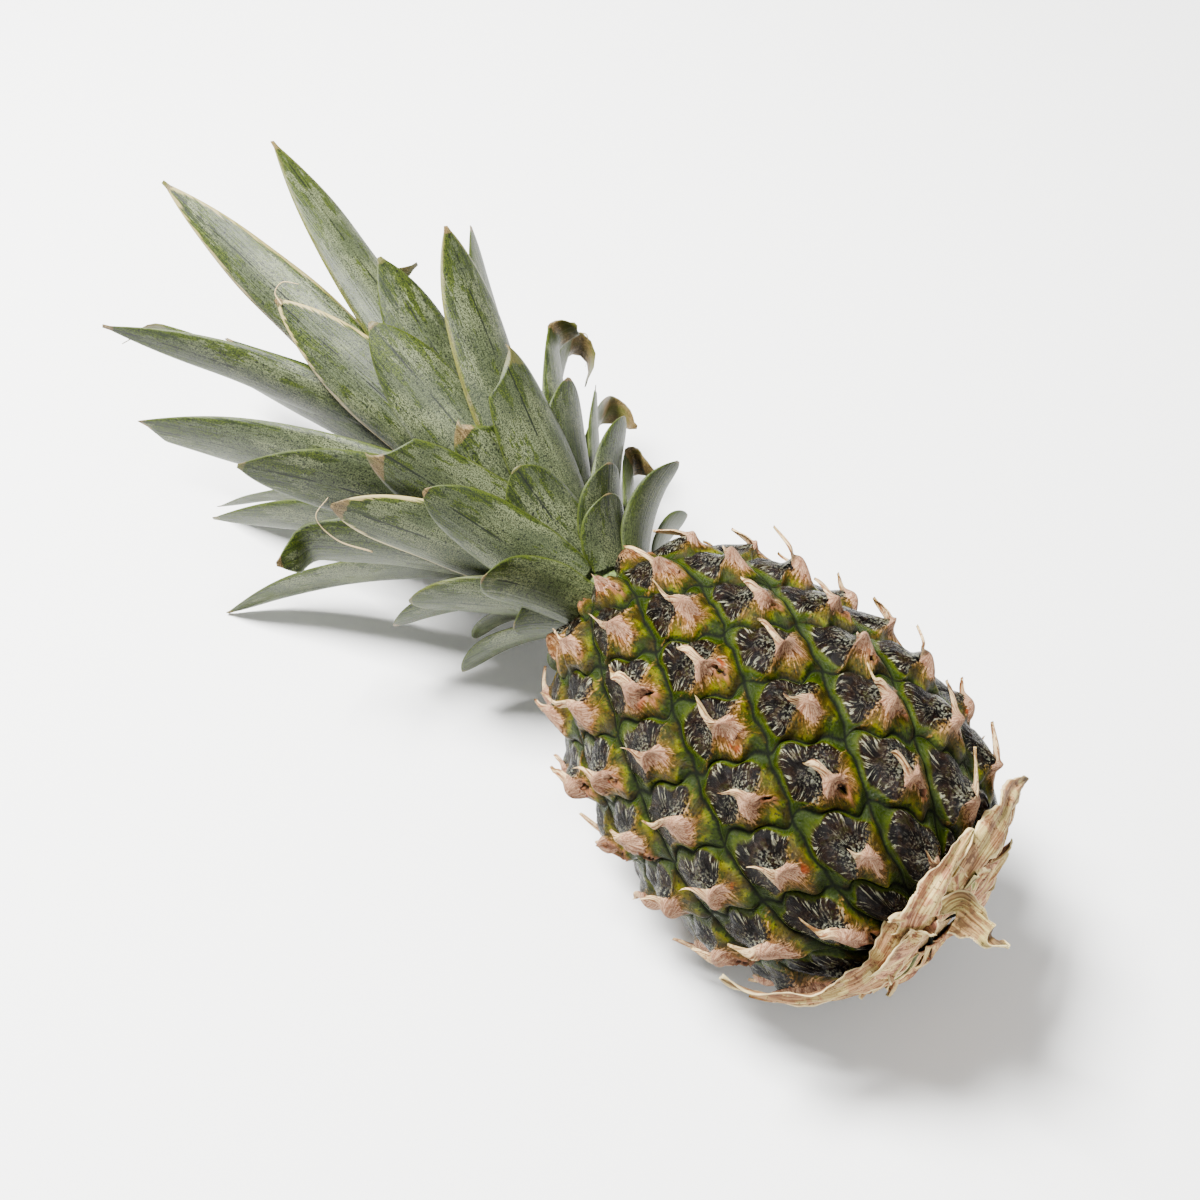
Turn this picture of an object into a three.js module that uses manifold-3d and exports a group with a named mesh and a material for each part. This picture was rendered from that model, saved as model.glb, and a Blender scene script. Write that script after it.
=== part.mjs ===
// A whole pineapple with its crown, lying on its side on the surface z = 0.
// The fruit, its cut stalk and the short stem of the crown grew as one body. Each crown leaf and each dry
// bract round the stalk is a piece of its own.
import * as THREE from "three";
import { mergeVertices } from "three/addons/utils/BufferGeometryUtils.js";
import Module from "manifold-3d";

const wasm = await Module();
wasm.setup();

// Driving dimensions, in millimetres and degrees. Distances along the axis are measured from the widest ring
// of eyes, and grow towards the crown.
const FRUIT = {
  radius: 62.5,
  crownReach: 101,
  stalkReach: 68,
  crownPower: 0.33, // of the outline: the smaller, the fuller the shoulder
  stalkPower: 0.36,
  stations: 600, // along the outline, where the eyes are counted
};
// The stalk is cut off flush with the fruit, and its depth is inside the fruit.
const STALK = { radius: 12, end: -68.5, depth: 12, sides: 24 };
// The short stem that the crown's leaves stand on. Its root is inside the fruit.
const STEM = { start: 97, length: 50, root: 15, radius: 18, tipRadius: 2.5, power: 0.8, sides: 20, rings: 6 };
const EYES = {
  area: 650, // of the skin that one eye covers, at the widest ring
  areaFall: 0.0011, // share of it lost with each millimetre towards the crown
  divergence: 137.714, // degrees from one eye to the next on the spiral
  firstAngle: -9.8, // of eye 0, from straight up
  firstIndex: 0.8, // spiral count at the widest ring
  steps: [8, 13], // the two families of rows that bound the eyes
  cells: 4, // grid cells across one eye
  groove: 4.2, // depth between the eyes
  flatness: 3, // power of an eye's bulge: the higher, the flatter its top
  knob: 1.4, // height of the knob in the middle of each eye
  knobSpread: 0.14, // of the knob, as a share of the eye's width
};
// The fruit lies with its crown end up by the pitch. Its own weight flattens the lowest eyes on the surface.
const REST = { pitch: 4.5, axisHeight: 61.2 };
const SURFACE = { length: 600, width: 300, depth: 100 }; // what the fruit lies on, cut from its lowest eyes
const ORIGIN = 131.1; // from the middle of the whole thing to the axis at the widest ring
const CROWN = {
  leaves: 52,
  firstAngle: 104.8,
  gap: 0.35, // kept between neighbours
  seat: 0.7, // from the stem's skin to the foot of a leaf
  // From the outermost leaf to the innermost, at even steps:
  lengths: [34, 42, 55, 72, 103, 133, 158, 205, 238],
  widths: [24, 28, 32, 36, 38, 27],
  tipSplays: [82, 62, 47, 44, 34, 2], // angle to the axis at the tip
  baseSplays: [41, 33, 8],
  bendPower: 1.2, // the higher, the nearer to its tip a leaf bends
  short: 60, // length up to which a leaf is broad and blunt
  long: 180, // length from which a leaf is slender
  taper: 4.4, // power of a leaf's outline: the higher, the longer it keeps its full width
  broadTip: 0.7, // how pointed the tip of a short leaf is
  slenderTip: 1, // the same for a long leaf
  baseWidth: 0.82, // share of the full width where the leaf leaves the stem
  fullFrom: 0.35, // share of the length where it reaches its full width
  channel: 0.8, // radius of the channel across a leaf, as a share of its width
  hug: 3, // how much wider than the stem the arc of its base is
  thickness: 1.7,
  edgeThickness: 0.8,
  tipWidth: 1.6,
  columns: 3,
  shortSteps: 4,
  longSteps: 6,
  bendStep: 0.5, // degrees by which a leaf that meets the surface is bent up at a time
  // One side of the crown grew in the shade of the other. Its leaves are shorter and stay closer to the axis.
  shade: { from: 50, shorter: 0.12, closer: 10 },
  // How single leaves differ: [degrees round the stem, millimetres longer, degrees wider at the tip].
  grown: {
    0: [-10, 10, 0], 1: [-20, 10, 0], 3: [0, 10, 20], 4: [0, -20, -10], 6: [20, -10, 0],
    7: [0, 10, -10], 8: [0, 20, -20], 9: [10, 20, -20], 11: [0, -10, 10], 12: [10, 0, -20],
    14: [10, -10, -10], 16: [0, 0, 10], 17: [10, 20, -10], 19: [0, 20, 0], 20: [0, -10, 0],
    21: [0, 20, 0], 24: [0, -20, 10], 25: [10, 0, 0], 26: [-10, 30, 20], 27: [0, -40, 0],
    28: [20, 30, 10], 30: [0, -10, 10], 32: [5, 10, 0], 33: [10, -10, -10], 34: [0, 10, 20],
    35: [20, -30, -10], 37: [10, 10, 0], 38: [0, 5, -5], 40: [10, -30, 0], 41: [0, -20, 0],
    42: [0, -60, 0], 43: [20, -50, -10], 45: [-10, 20, 0], 46: [10, -20, -10], 47: [0, -20, 0],
    48: [-10, 0, 0], 49: [0, -40, 0], 50: [10, 0, 10], 51: [0, -60, 30],
  },
};
// Dry bracts round the stalk. Each route runs from the stalk to the tip, as [along, away, angle].
const BRACTS = {
  thickness: 0.9,
  steps: 8,
  columns: 3,
  taper: 2.2, // the higher, the nearer to its tip a bract narrows
  curl: 0.12, // how far the edges bend towards the fruit, as a share of half the width
  heart: -30, // the point of the axis that their undersides face
  strips: {
    long: { width: 15, tip: 1.6, route: [
      [-66.5, 26, 318], [-68.5, 27.5, 290], [-67, 34, 270], [-62.5, 43, 263],
      [-56.5, 52, 262], [-50, 59, 264], [-43, 65, 268], [-37, 69, 271],
    ] },
    wrapping: { width: 13, tip: 1.6, route: [
      [-68.5, 24, 314], [-68, 32, 330], [-66.5, 37, 346], [-63.5, 40, 2], [-60.5, 42.5, 18],
    ] },
    standing: { width: 15, tip: 1.6, route: [
      [-69.5, 17, 346], [-73, 21.5, 355], [-79, 21, 358], [-86, 21.5, 359], [-93, 25, 360],
    ] },
    broad: { width: 26, tip: 18, route: [
      [-70, 13.5, 296], [-71.3, 20, 296], [-71.3, 27, 296], [-70, 34, 296],
    ] },
    hooked: { width: 14, tip: 1.6, route: [
      [-68.5, 26, 4], [-67.5, 34, 14], [-65, 39, 28], [-61.5, 43, 42],
      [-57, 48, 54], [-54, 54, 66], [-53, 59, 74],
    ] },
    far: { width: 16, tip: 2, route: [[-70, 15, 122], [-69.5, 27, 119], [-65, 38, 114], [-57, 46.5, 108]] },
    under: { width: 17, tip: 2, route: [[-70, 15, 190], [-69.5, 27, 192], [-65, 37, 196], [-58, 45, 200]] },
  },
};
const SKIN = { color: "#5d6130", roughness: 0.55, metalness: 0 };
const LEAF = { color: "#8a9a78", roughness: 0.5, metalness: 0 };
const BRACT = { color: "#d9c49a", roughness: 0.8, metalness: 0 };
const SAME_POINT = 1e-4; // points closer than this are one

const { cos, sin, PI, abs, min, max, floor, ceil } = Math;
const rad = THREE.MathUtils.degToRad;

// ---- The lying axis: out along it, then away from it at an angle from straight up ----
const pitch = rad(REST.pitch);
const ALONG = new THREE.Vector3(-cos(pitch), 0, sin(pitch));
const UP = new THREE.Vector3(sin(pitch), 0, cos(pitch));
const ASIDE = new THREE.Vector3().crossVectors(ALONG, UP);
const CENTRE = new THREE.Vector3(ORIGIN, 0, REST.axisHeight);

function outward(angle) {
  return UP.clone().multiplyScalar(cos(angle)).addScaledVector(ASIDE, sin(angle));
}

function axisPoint(along, away, angle) {
  return CENTRE.clone().addScaledVector(ALONG, along).addScaledVector(outward(angle), away);
}

// A value read from a list whose entries stand at even steps of share, from 0 to 1.
function at(list, share) {
  const place = THREE.MathUtils.clamp(share, 0, 1) * (list.length - 1);
  const low = min(floor(place), list.length - 2);
  return THREE.MathUtils.lerp(list[low], list[low + 1], place - low);
}

// ---- Solids ----
function solidFrom(geometry) {
  geometry.deleteAttribute("normal");
  geometry.deleteAttribute("uv");
  const merged = mergeVertices(geometry, SAME_POINT);
  return new wasm.Manifold(
    new wasm.Mesh({
      numProp: 3,
      vertProperties: new Float32Array(merged.attributes.position.array),
      triVerts: new Uint32Array(merged.index.array),
    }),
  );
}

function geometryFrom(points, triangles) {
  const geometry = new THREE.BufferGeometry().setFromPoints(points);
  geometry.setIndex(triangles);
  return geometry;
}

function largestBody(solid) {
  return solid.decompose().reduce((a, b) => (a.volume() > b.volume() ? a : b));
}

function meshFrom(solid, name, finish) {
  const { vertProperties, triVerts } = solid.getMesh();
  const geometry = new THREE.BufferGeometry();
  geometry.setAttribute("position", new THREE.BufferAttribute(vertProperties, 3));
  geometry.setIndex(new THREE.BufferAttribute(triVerts, 1));
  geometry.computeVertexNormals();
  const mesh = new THREE.Mesh(geometry, new THREE.MeshStandardMaterial(finish));
  mesh.name = name;
  return mesh;
}

// A closed sheet from rows of paired points, each row running across the sheet.
function sheetSolid(rows) {
  const across = rows[0].over.length;
  const points = rows.flatMap((row) => [...row.over, ...row.under]);
  const triangles = [];
  const id = (row, side, column) => row * 2 * across + side * across + column;
  const quad = (a, b, c, d) => triangles.push(a, b, c, a, c, d);
  for (let row = 0; row + 1 < rows.length; row++) {
    for (let column = 0; column + 1 < across; column++) {
      quad(id(row, 0, column), id(row, 0, column + 1), id(row + 1, 0, column + 1), id(row + 1, 0, column));
      quad(id(row, 1, column), id(row + 1, 1, column), id(row + 1, 1, column + 1), id(row, 1, column + 1));
    }
    quad(id(row, 0, 0), id(row + 1, 0, 0), id(row + 1, 1, 0), id(row, 1, 0));
    const edge = across - 1;
    quad(id(row, 0, edge), id(row, 1, edge), id(row + 1, 1, edge), id(row + 1, 0, edge));
  }
  const last = rows.length - 1;
  for (let column = 0; column + 1 < across; column++) {
    quad(id(0, 0, column), id(0, 1, column), id(0, 1, column + 1), id(0, 0, column + 1));
    quad(id(last, 0, column), id(last, 0, column + 1), id(last, 1, column + 1), id(last, 1, column));
  }
  return solidFrom(geometryFrom(points, triangles));
}

// ---- The fruit ----
function outline(along) {
  const [reach, power] =
    along > 0 ? [FRUIT.crownReach, FRUIT.crownPower] : [FRUIT.stalkReach, FRUIT.stalkPower];
  return FRUIT.radius * max(0, 1 - (along / reach) ** 2) ** power;
}

// Stations along the outline, each with its count on the eyes' spiral: every eye covers its area of skin.
function eyeStations() {
  const neck = (radius, power) => Math.acos((radius / FRUIT.radius) ** (1 / (2 * power)));
  const crownTurn = neck(STEM.radius, FRUIT.crownPower);
  const stalkTurn = -neck(STALK.radius, FRUIT.stalkPower);
  const stations = [];
  let index = 0;
  for (let step = 0; step <= FRUIT.stations; step++) {
    const turn = THREE.MathUtils.lerp(crownTurn, stalkTurn, step / FRUIT.stations);
    const along = sin(turn) * (turn > 0 ? FRUIT.crownReach : FRUIT.stalkReach);
    const away = outline(along);
    const before = stations.at(-1);
    if (before) {
      const skin = Math.hypot(along - before.along, away - before.away) * PI * (away + before.away);
      index += skin / (EYES.area * (1 - EYES.areaFall * along));
    }
    stations.push({ index, along, away });
  }
  const widest = stations.find((station) => station.along <= 0).index;
  stations.forEach((station) => (station.index += EYES.firstIndex - widest));
  return stations;
}

const STATIONS = eyeStations();
const FIRST_INDEX = STATIONS[0].index;
const LAST_INDEX = STATIONS.at(-1).index;

// The place on the smooth outline at a spiral count, with the outline's outward direction there.
function skinAt(index) {
  const place = THREE.MathUtils.clamp(index, FIRST_INDEX, LAST_INDEX - SAME_POINT);
  const next = STATIONS.findIndex((station) => station.index > place);
  const [a, b] = [STATIONS[next - 1], STATIONS[next]];
  const share = (place - a.index) / (b.index - a.index);
  const length = Math.hypot(b.along - a.along, b.away - a.away);
  return {
    along: THREE.MathUtils.lerp(a.along, b.along, share),
    away: THREE.MathUtils.lerp(a.away, b.away, share),
    outAlong: (b.away - a.away) / length,
    outAway: (a.along - b.along) / length,
  };
}

// Height of the skin over the outline inside an eye, where x and y run from -0.5 to 0.5 between its grooves.
function eyeHeight(x, y) {
  const bulge = (1 - abs(2 * x) ** EYES.flatness) * (1 - abs(2 * y) ** EYES.flatness);
  const knob = Math.exp(-(x * x + y * y) / EYES.knobSpread ** 2);
  return EYES.groove * (bulge - 1) + EYES.knob * knob;
}

// The skin is a grid whose rows follow the eyes' two families of spirals, so it closes round the fruit
// after steps[1] eyes one way and steps[0] the other. Its two open ends close on the axis.
function skinSolid(pad) {
  const [few, many] = EYES.steps;
  const turns = [few, many].map((step) => {
    const turn = (step * EYES.divergence) % 360;
    return rad(turn > 180 ? turn - 360 : turn);
  });
  const round = many * EYES.cells;
  const indexOf = (p, q) => (few * p + many * q) / EYES.cells;
  const points = [];
  const ids = new Map();
  const idOf = (p, q) => {
    const [column, row] = p === round ? [0, q + few * EYES.cells] : [p, q];
    const key = `${column},${row}`;
    if (!ids.has(key)) {
      const [x, y] = [column / EYES.cells, row / EYES.cells];
      const skin = skinAt(indexOf(column, row));
      const height = eyeHeight(x - Math.round(x), y - Math.round(y)) + pad;
      const angle = rad(EYES.firstAngle) + x * turns[0] + y * turns[1];
      const point = axisPoint(skin.along + height * skin.outAlong, skin.away + height * skin.outAway, angle);
      ids.set(key, points.push(point) - 1);
    }
    return ids.get(key);
  };
  const triangles = [];
  for (let p = 0; p < round; p++) {
    const lowest = ceil((FIRST_INDEX * EYES.cells - few * p) / many);
    for (let q = lowest; indexOf(p + 1, q + 1) <= LAST_INDEX; q++) {
      const [a, b, c, d] = [idOf(p, q), idOf(p + 1, q), idOf(p + 1, q + 1), idOf(p, q + 1)];
      triangles.push(a, c, b, a, d, c);
    }
  }
  closeEnds(points, triangles);
  return solidFrom(geometryFrom(points, triangles));
}

// Fans every open edge to the axis, at the crown end or the stalk end.
function closeEnds(points, triangles) {
  const edges = new Set();
  for (let t = 0; t < triangles.length; t += 3)
    for (let k = 0; k < 3; k++) edges.add(`${triangles[t + k]},${triangles[t + ((k + 1) % 3)]}`);
  const crownTip = points.push(axisPoint(skinAt(FIRST_INDEX).along, 0, 0)) - 1;
  const stalkTip = points.push(axisPoint(skinAt(LAST_INDEX).along, 0, 0)) - 1;
  for (const edge of edges) {
    const [from, to] = edge.split(",").map(Number);
    if (edges.has(`${to},${from}`)) continue;
    const along = points[from].clone().sub(CENTRE).dot(ALONG);
    triangles.push(to, from, along > 0 ? crownTip : stalkTip);
  }
}

// A body turned round the axis, from its outline of [along, away] pairs, which starts and ends on the axis.
function turnedSolid(pairs, sides) {
  const profile = pairs.map(([along, away]) => new THREE.Vector2(away, along));
  const geometry = new THREE.LatheGeometry(profile, sides);
  const turn = new THREE.Matrix4().makeBasis(UP, ALONG, ASIDE.clone().negate());
  geometry.applyMatrix4(turn.setPosition(CENTRE));
  return solidFrom(geometry);
}

// The crown's stem, at a share of the way from the fruit to its tip.
function stemRadius(share) {
  return STEM.tipRadius + (STEM.radius - STEM.tipRadius) * (1 - share) ** STEM.power;
}

function fruitSolid(pad) {
  const stalk = [
    [STALK.end + STALK.depth, 0],
    [STALK.end + STALK.depth, STALK.radius + pad],
    [STALK.end - pad, STALK.radius + pad],
    [STALK.end - pad, 0],
  ].reverse();
  const stem = [[STEM.start - STEM.root, 0], [STEM.start - STEM.root, STEM.radius + pad]];
  for (let ring = 0; ring <= STEM.rings; ring++) {
    const share = ring / STEM.rings;
    stem.push([STEM.start + share * STEM.length, stemRadius(share) + pad]);
  }
  stem.push([STEM.start + STEM.length + pad, 0]);
  return skinSolid(pad).add(turnedSolid(stalk, STALK.sides)).add(turnedSolid(stem, STEM.sides));
}

// ---- The crown ----
// A leaf's midline leaves the stem at its base splay and bends steadily to its tip splay. Across, it is an
// arc that hugs the stem at the base and stays a shallow channel up to the tip.
function leafRows(leaf, splayCut, pad) {
  const share = leaf / (CROWN.leaves - 1);
  const [turned, longer, wider] = CROWN.grown[leaf] ?? [0, 0, 0];
  const width = at(CROWN.widths, share);
  const angle = rad(CROWN.firstAngle - leaf * EYES.divergence + turned);
  const shaded = cos(angle - rad(CROWN.shade.from));
  const length = at(CROWN.lengths, share) * (1 - CROWN.shade.shorter * shaded) + longer;
  const baseSplay = rad(at(CROWN.baseSplays, share));
  const tipSplay = rad(at(CROWN.tipSplays, share) - CROWN.shade.closer * shaded + wider - splayCut);
  const slender = THREE.MathUtils.clamp((length - CROWN.short) / (CROWN.long - CROWN.short), 0, 1);
  const tipPower = THREE.MathUtils.lerp(CROWN.broadTip, CROWN.slenderTip, slender);
  const steps = length < CROWN.short ? CROWN.shortSteps : CROWN.longSteps;
  const side = new THREE.Vector3().crossVectors(ALONG, outward(angle));
  const hug = stemRadius(share) + CROWN.hug;
  const start = STEM.start + CROWN.seat + share * STEM.length;
  const middle = axisPoint(start, stemRadius(share) + CROWN.seat, angle);
  const rows = [];
  for (let step = 0; step <= steps; step++) {
    const t = step / steps;
    const splay = THREE.MathUtils.lerp(baseSplay, tipSplay, t ** CROWN.bendPower);
    const ahead = ALONG.clone().multiplyScalar(cos(splay)).addScaledVector(outward(angle), sin(splay));
    const out = outward(angle).multiplyScalar(cos(splay)).addScaledVector(ALONG, -sin(splay));
    if (step > 0) middle.addScaledVector(ahead, length / steps);
    const full = THREE.MathUtils.lerp(CROWN.baseWidth, 1, THREE.MathUtils.smoothstep(t, 0, CROWN.fullFrom));
    const half = max(CROWN.tipWidth, width * full * (1 - t ** CROWN.taper) ** tipPower) / 2 + pad;
    const freed = 1 - (1 - t) ** 2; // from hugging the stem to the free channel
    const bend = 1 / THREE.MathUtils.lerp(1 / hug, 1 / (CROWN.channel * width), freed);
    const row = { over: [], under: [] };
    for (let column = 0; column <= CROWN.columns; column++) {
      const across = (2 * column) / CROWN.columns - 1;
      const turn = (across * half) / bend;
      const normal = out.clone().multiplyScalar(cos(turn)).addScaledVector(side, sin(turn));
      const point = middle.clone().addScaledVector(out, -bend).addScaledVector(normal, bend);
      const thick = THREE.MathUtils.lerp(CROWN.thickness, CROWN.edgeThickness, max(t, across * across));
      row.over.push(point.clone().addScaledVector(normal, thick + pad));
      row.under.push(point.clone().addScaledVector(normal, -pad));
    }
    rows.push(row);
  }
  return rows;
}

const lowest = (rows) => min(...rows.flatMap((row) => [...row.over, ...row.under]).map((point) => point.z));

// A leaf that would reach below the surface is bent up until it rests on it.
function splayCutOf(leaf) {
  let cut = 0;
  while (lowest(leafRows(leaf, cut, 0)) < 0) cut += CROWN.bendStep;
  return cut;
}

// Leaves and bracts give way to the fruit and to the neighbours that lie outside them.
function crownSolids(fruit) {
  const leaves = [];
  const grown = [];
  for (let leaf = 0; leaf < CROWN.leaves; leaf++) {
    const cut = splayCutOf(leaf);
    let solid = sheetSolid(leafRows(leaf, cut, 0)).subtract(fruit);
    for (const outer of grown) solid = solid.subtract(outer);
    leaves.push(largestBody(solid));
    grown.push(sheetSolid(leafRows(leaf, cut, CROWN.gap)));
  }
  return leaves;
}

// ---- The dry bracts round the stalk ----
function bractRows({ width, tip, route }, pad) {
  const places = route.map(([along, away, angle]) => axisPoint(along, away, rad(angle)));
  const curve = new THREE.CatmullRomCurve3(places);
  const heart = axisPoint(BRACTS.heart, 0, 0);
  const rows = [];
  for (let step = 0; step <= BRACTS.steps; step++) {
    const t = step / BRACTS.steps;
    const middle = curve.getPointAt(t);
    const ahead = curve.getTangentAt(t);
    const out = middle.clone().sub(heart).projectOnPlane(ahead).normalize();
    const side = new THREE.Vector3().crossVectors(ahead, out);
    const half = THREE.MathUtils.lerp(width, tip, t ** BRACTS.taper) / 2 + pad;
    const row = { over: [], under: [] };
    for (let column = 0; column <= BRACTS.columns; column++) {
      const across = (2 * column) / BRACTS.columns - 1;
      const point = middle.clone().addScaledVector(side, across * half);
      point.addScaledVector(out, -BRACTS.curl * half * across * across);
      row.over.push(point.clone().addScaledVector(out, BRACTS.thickness + pad));
      row.under.push(point.clone().addScaledVector(out, -pad));
    }
    rows.push(row);
  }
  return rows;
}

function bractSolids(fruit) {
  const placed = [];
  return Object.entries(BRACTS.strips).map(([name, strip]) => {
    let solid = sheetSolid(bractRows(strip, 0)).subtract(fruit);
    for (const other of placed) solid = solid.subtract(other);
    placed.push(sheetSolid(bractRows(strip, CROWN.gap)));
    return [name, largestBody(solid)];
  });
}

// ---- Assembly ----
const slab = new THREE.BoxGeometry(SURFACE.length, SURFACE.width, SURFACE.depth);
const surface = solidFrom(slab.translate(0, 0, -SURFACE.depth / 2));
const fruit = fruitSolid(0).subtract(surface);
const clearance = fruitSolid(CROWN.gap);
const pineapple = new THREE.Group();
pineapple.add(meshFrom(fruit, "fruit", SKIN));
crownSolids(clearance).forEach((leaf, place) => {
  const name = `crown_leaf_${String(place + 1).padStart(2, "0")}`;
  pineapple.add(meshFrom(leaf, name, LEAF));
});
for (const [name, bract] of bractSolids(clearance))
  pineapple.add(meshFrom(bract, `stalk_bract_${name}`, BRACT));

export default pineapple;
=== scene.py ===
# %% [markdown]
# # A pineapple on its side
# The CAD frame already has the fruit, 52 crown leaves and the dry bracts round the stalk as plain
# solids. This lesson gives each of them a fine surface that keeps to the same curves. Everything is
# worked out in millimetres and turned to metres only when a mesh is made.

import bpy
import numpy as np
from mathutils import Matrix, Vector


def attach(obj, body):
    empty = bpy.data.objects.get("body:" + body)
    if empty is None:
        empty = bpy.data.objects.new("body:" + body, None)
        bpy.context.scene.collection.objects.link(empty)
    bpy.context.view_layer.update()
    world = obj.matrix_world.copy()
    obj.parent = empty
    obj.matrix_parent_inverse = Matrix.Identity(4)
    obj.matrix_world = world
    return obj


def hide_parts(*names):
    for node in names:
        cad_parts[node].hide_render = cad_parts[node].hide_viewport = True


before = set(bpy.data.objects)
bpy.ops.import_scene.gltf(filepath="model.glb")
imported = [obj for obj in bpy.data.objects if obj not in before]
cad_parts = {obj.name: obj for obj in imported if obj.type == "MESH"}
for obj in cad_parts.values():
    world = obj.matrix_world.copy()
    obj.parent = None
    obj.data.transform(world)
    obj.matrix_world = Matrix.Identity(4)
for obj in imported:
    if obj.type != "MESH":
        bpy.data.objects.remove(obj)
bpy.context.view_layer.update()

MM = 0.001
print("CAD nodes:", len(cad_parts))

# %% [markdown]
# ## The lying axis
# The fruit lies with its crown end tipped up a little. A place on it is easiest to say as a distance
# along the axis from the widest ring of eyes (towards the crown), a distance away from the axis, and an
# angle round it from straight up. One function turns such places into points.

# %% The axis and places round it
PITCH = np.radians(4.5)
CENTRE = np.array([131.1, 0.0, 61.2])
ALONG = np.array([-np.cos(PITCH), 0.0, np.sin(PITCH)])
UP = np.array([np.sin(PITCH), 0.0, np.cos(PITCH)])
ASIDE = np.cross(ALONG, UP)
print("axis tipped up by", round(float(np.degrees(PITCH)), 1), "degrees")


def outward(angle):
    """The direction away from the axis, at one angle or an array of them."""
    angle = np.asarray(angle, float)[..., None]
    return UP * np.cos(angle) + ASIDE * np.sin(angle)


def axis_point(along, away, angle):
    """Points from distances along and away from the axis, and angles round it."""
    along, away = np.asarray(along, float)[..., None], np.asarray(away, float)[..., None]
    return CENTRE + ALONG * along + outward(angle) * away


def smoothstep(low, high, value):
    share = np.clip((value - low) / (high - low), 0, 1)
    return share * share * (3 - 2 * share)


def lerp(start, end, share):
    return start + (end - start) * share


def at(values, share):
    """A value from a list whose entries stand at even steps of share, from 0 to 1."""
    return np.interp(share, np.linspace(0, 1, len(values)), values)


# %% [markdown]
# ## The spiral of eyes
# Each eye of a pineapple is one flower, and each flower sits 137.7 degrees round from the one before,
# as leaves do on a stem. Every eye covers nearly the same area of skin, so walking down the outline and
# adding up skin gives each place its count on the spiral. Eight steps of the spiral make one family of
# rows, and thirteen the other.

# %% Count eyes down the outline
FRUIT_RADIUS = 62.5
CROWN_END = {"reach": 101.0, "power": 0.33, "neck": 18.0}
STALK_END = {"reach": 68.0, "power": 0.36, "neck": 12.0}
EYE_AREA, EYE_AREA_FALL = 650.0, 0.0011
DIVERGENCE, FIRST_ANGLE, FIRST_INDEX = 137.714, -9.8, 0.8
FEW, MANY = 8, 13
STATIONS = 600


def eye_stations():
    """Counts on the spiral with their distances along and away from the axis, from the crown end down."""
    ends = (CROWN_END, STALK_END)
    necks = [np.arccos((end["neck"] / FRUIT_RADIUS) ** (0.5 / end["power"])) for end in ends]
    turn = np.linspace(necks[0], -necks[1], STATIONS + 1)
    towards_crown = turn > 0
    along = np.sin(turn) * np.where(towards_crown, CROWN_END["reach"], STALK_END["reach"])
    power = np.where(towards_crown, CROWN_END["power"], STALK_END["power"])
    away = FRUIT_RADIUS * np.cos(turn) ** (2 * power)
    skin = np.hypot(np.diff(along), np.diff(away)) * np.pi * (away[1:] + away[:-1])
    index = np.append(0, np.cumsum(skin / (EYE_AREA * (1 - EYE_AREA_FALL * along[1:]))))
    index += FIRST_INDEX - index[np.argmax(along <= 0)]
    return index, along, away


INDEX, STATION_ALONG, STATION_AWAY = eye_stations()
OUT_ALONG, OUT_AWAY = np.gradient(STATION_AWAY), -np.gradient(STATION_ALONG)
OUT_LENGTH = np.hypot(OUT_ALONG, OUT_AWAY)
OUT_ALONG, OUT_AWAY = OUT_ALONG / OUT_LENGTH, OUT_AWAY / OUT_LENGTH
TURNS = [np.radians((step * DIVERGENCE + 180) % 360 - 180) for step in (FEW, MANY)]
print(f"eyes {np.ceil(INDEX[0]):.0f} to {np.floor(INDEX[-1]):.0f}")


# The rows waver: sine waves that close round the fruit, so whole numbers of them fit in a turn.
WAVER = [{"turns": 17, "slope": 0.9, "size": 0.7}, {"turns": 31, "slope": -0.6, "size": 0.45}]
WAVER_DEGREES = 1.1
BLUNTNESS = 0.02  # how far the grooves swing within one eye, which blunts its upper and lower corners


def skin_point(x, y, height):
    """A point at a height over the smooth outline. x and y count eyes along the two families of rows."""
    x, y = x + BLUNTNESS * np.sin(2 * np.pi * y), y + BLUNTNESS * np.sin(2 * np.pi * x)
    index = FEW * x + MANY * y
    angle = np.radians(FIRST_ANGLE) + x * TURNS[0] + y * TURNS[1]
    for wave in WAVER:
        phase = wave["turns"] * angle + wave["slope"] * index
        index = index + wave["size"] * np.sin(phase)
        angle = angle + np.radians(WAVER_DEGREES) * wave["size"] * np.cos(phase + 1)
    along = np.interp(index, INDEX, STATION_ALONG) + height * np.interp(index, INDEX, OUT_ALONG)
    away = np.interp(index, INDEX, STATION_AWAY) + height * np.interp(index, INDEX, OUT_AWAY)
    return axis_point(along, away, angle)


# %% [markdown]
# ## The relief of one eye
# An eye is a rounded diamond between grooves. Its half towards the stalk is a fleshy bract that climbs
# to a hub, with a low ridge out to each side corner. Its half towards the crown is a smooth dome with
# the hub at its edge. The hub sits a little nearer the stalk than the middle of the eye, and places are
# counted from it, in half diagonals of the eye: side towards the side corners, up towards the crown.
# Sums of smooth bumps make the relief, and random numbers for each eye keep any two from matching.

# %% Heights inside an eye
GROOVE = 4.2
LIP_POWER = 5.0  # the higher, the steeper the margin of the fleshy half
DOME_POWER, DOME_HEIGHT = 2.5, 1.0
HUB = {"drop": 0.13, "height": 3.0, "spread": 0.22}
RIDGE = {"height": 1.9, "spread": 0.11}
SLUMP = 1.5
WRINKLE = {"height": 0.26, "count": 26}
FOLD = {"height": 0.4, "count": 11}
# Some eyes have torn open under the hub, with a raised rim round the opening.
TEAR = {"share": 0.3, "up": -0.33, "radius": 0.13, "rim": 1.3, "depth": 2.2}


def bell(value, spread):
    return np.exp(-((value / spread) ** 2))


def body_line(side):
    """How far up the fleshy half of an eye reaches. It climbs to the hub and to both side corners."""
    return -0.07 + 0.13 * np.exp(-np.abs(side) / 0.12) + 0.16 * side**2


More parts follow.
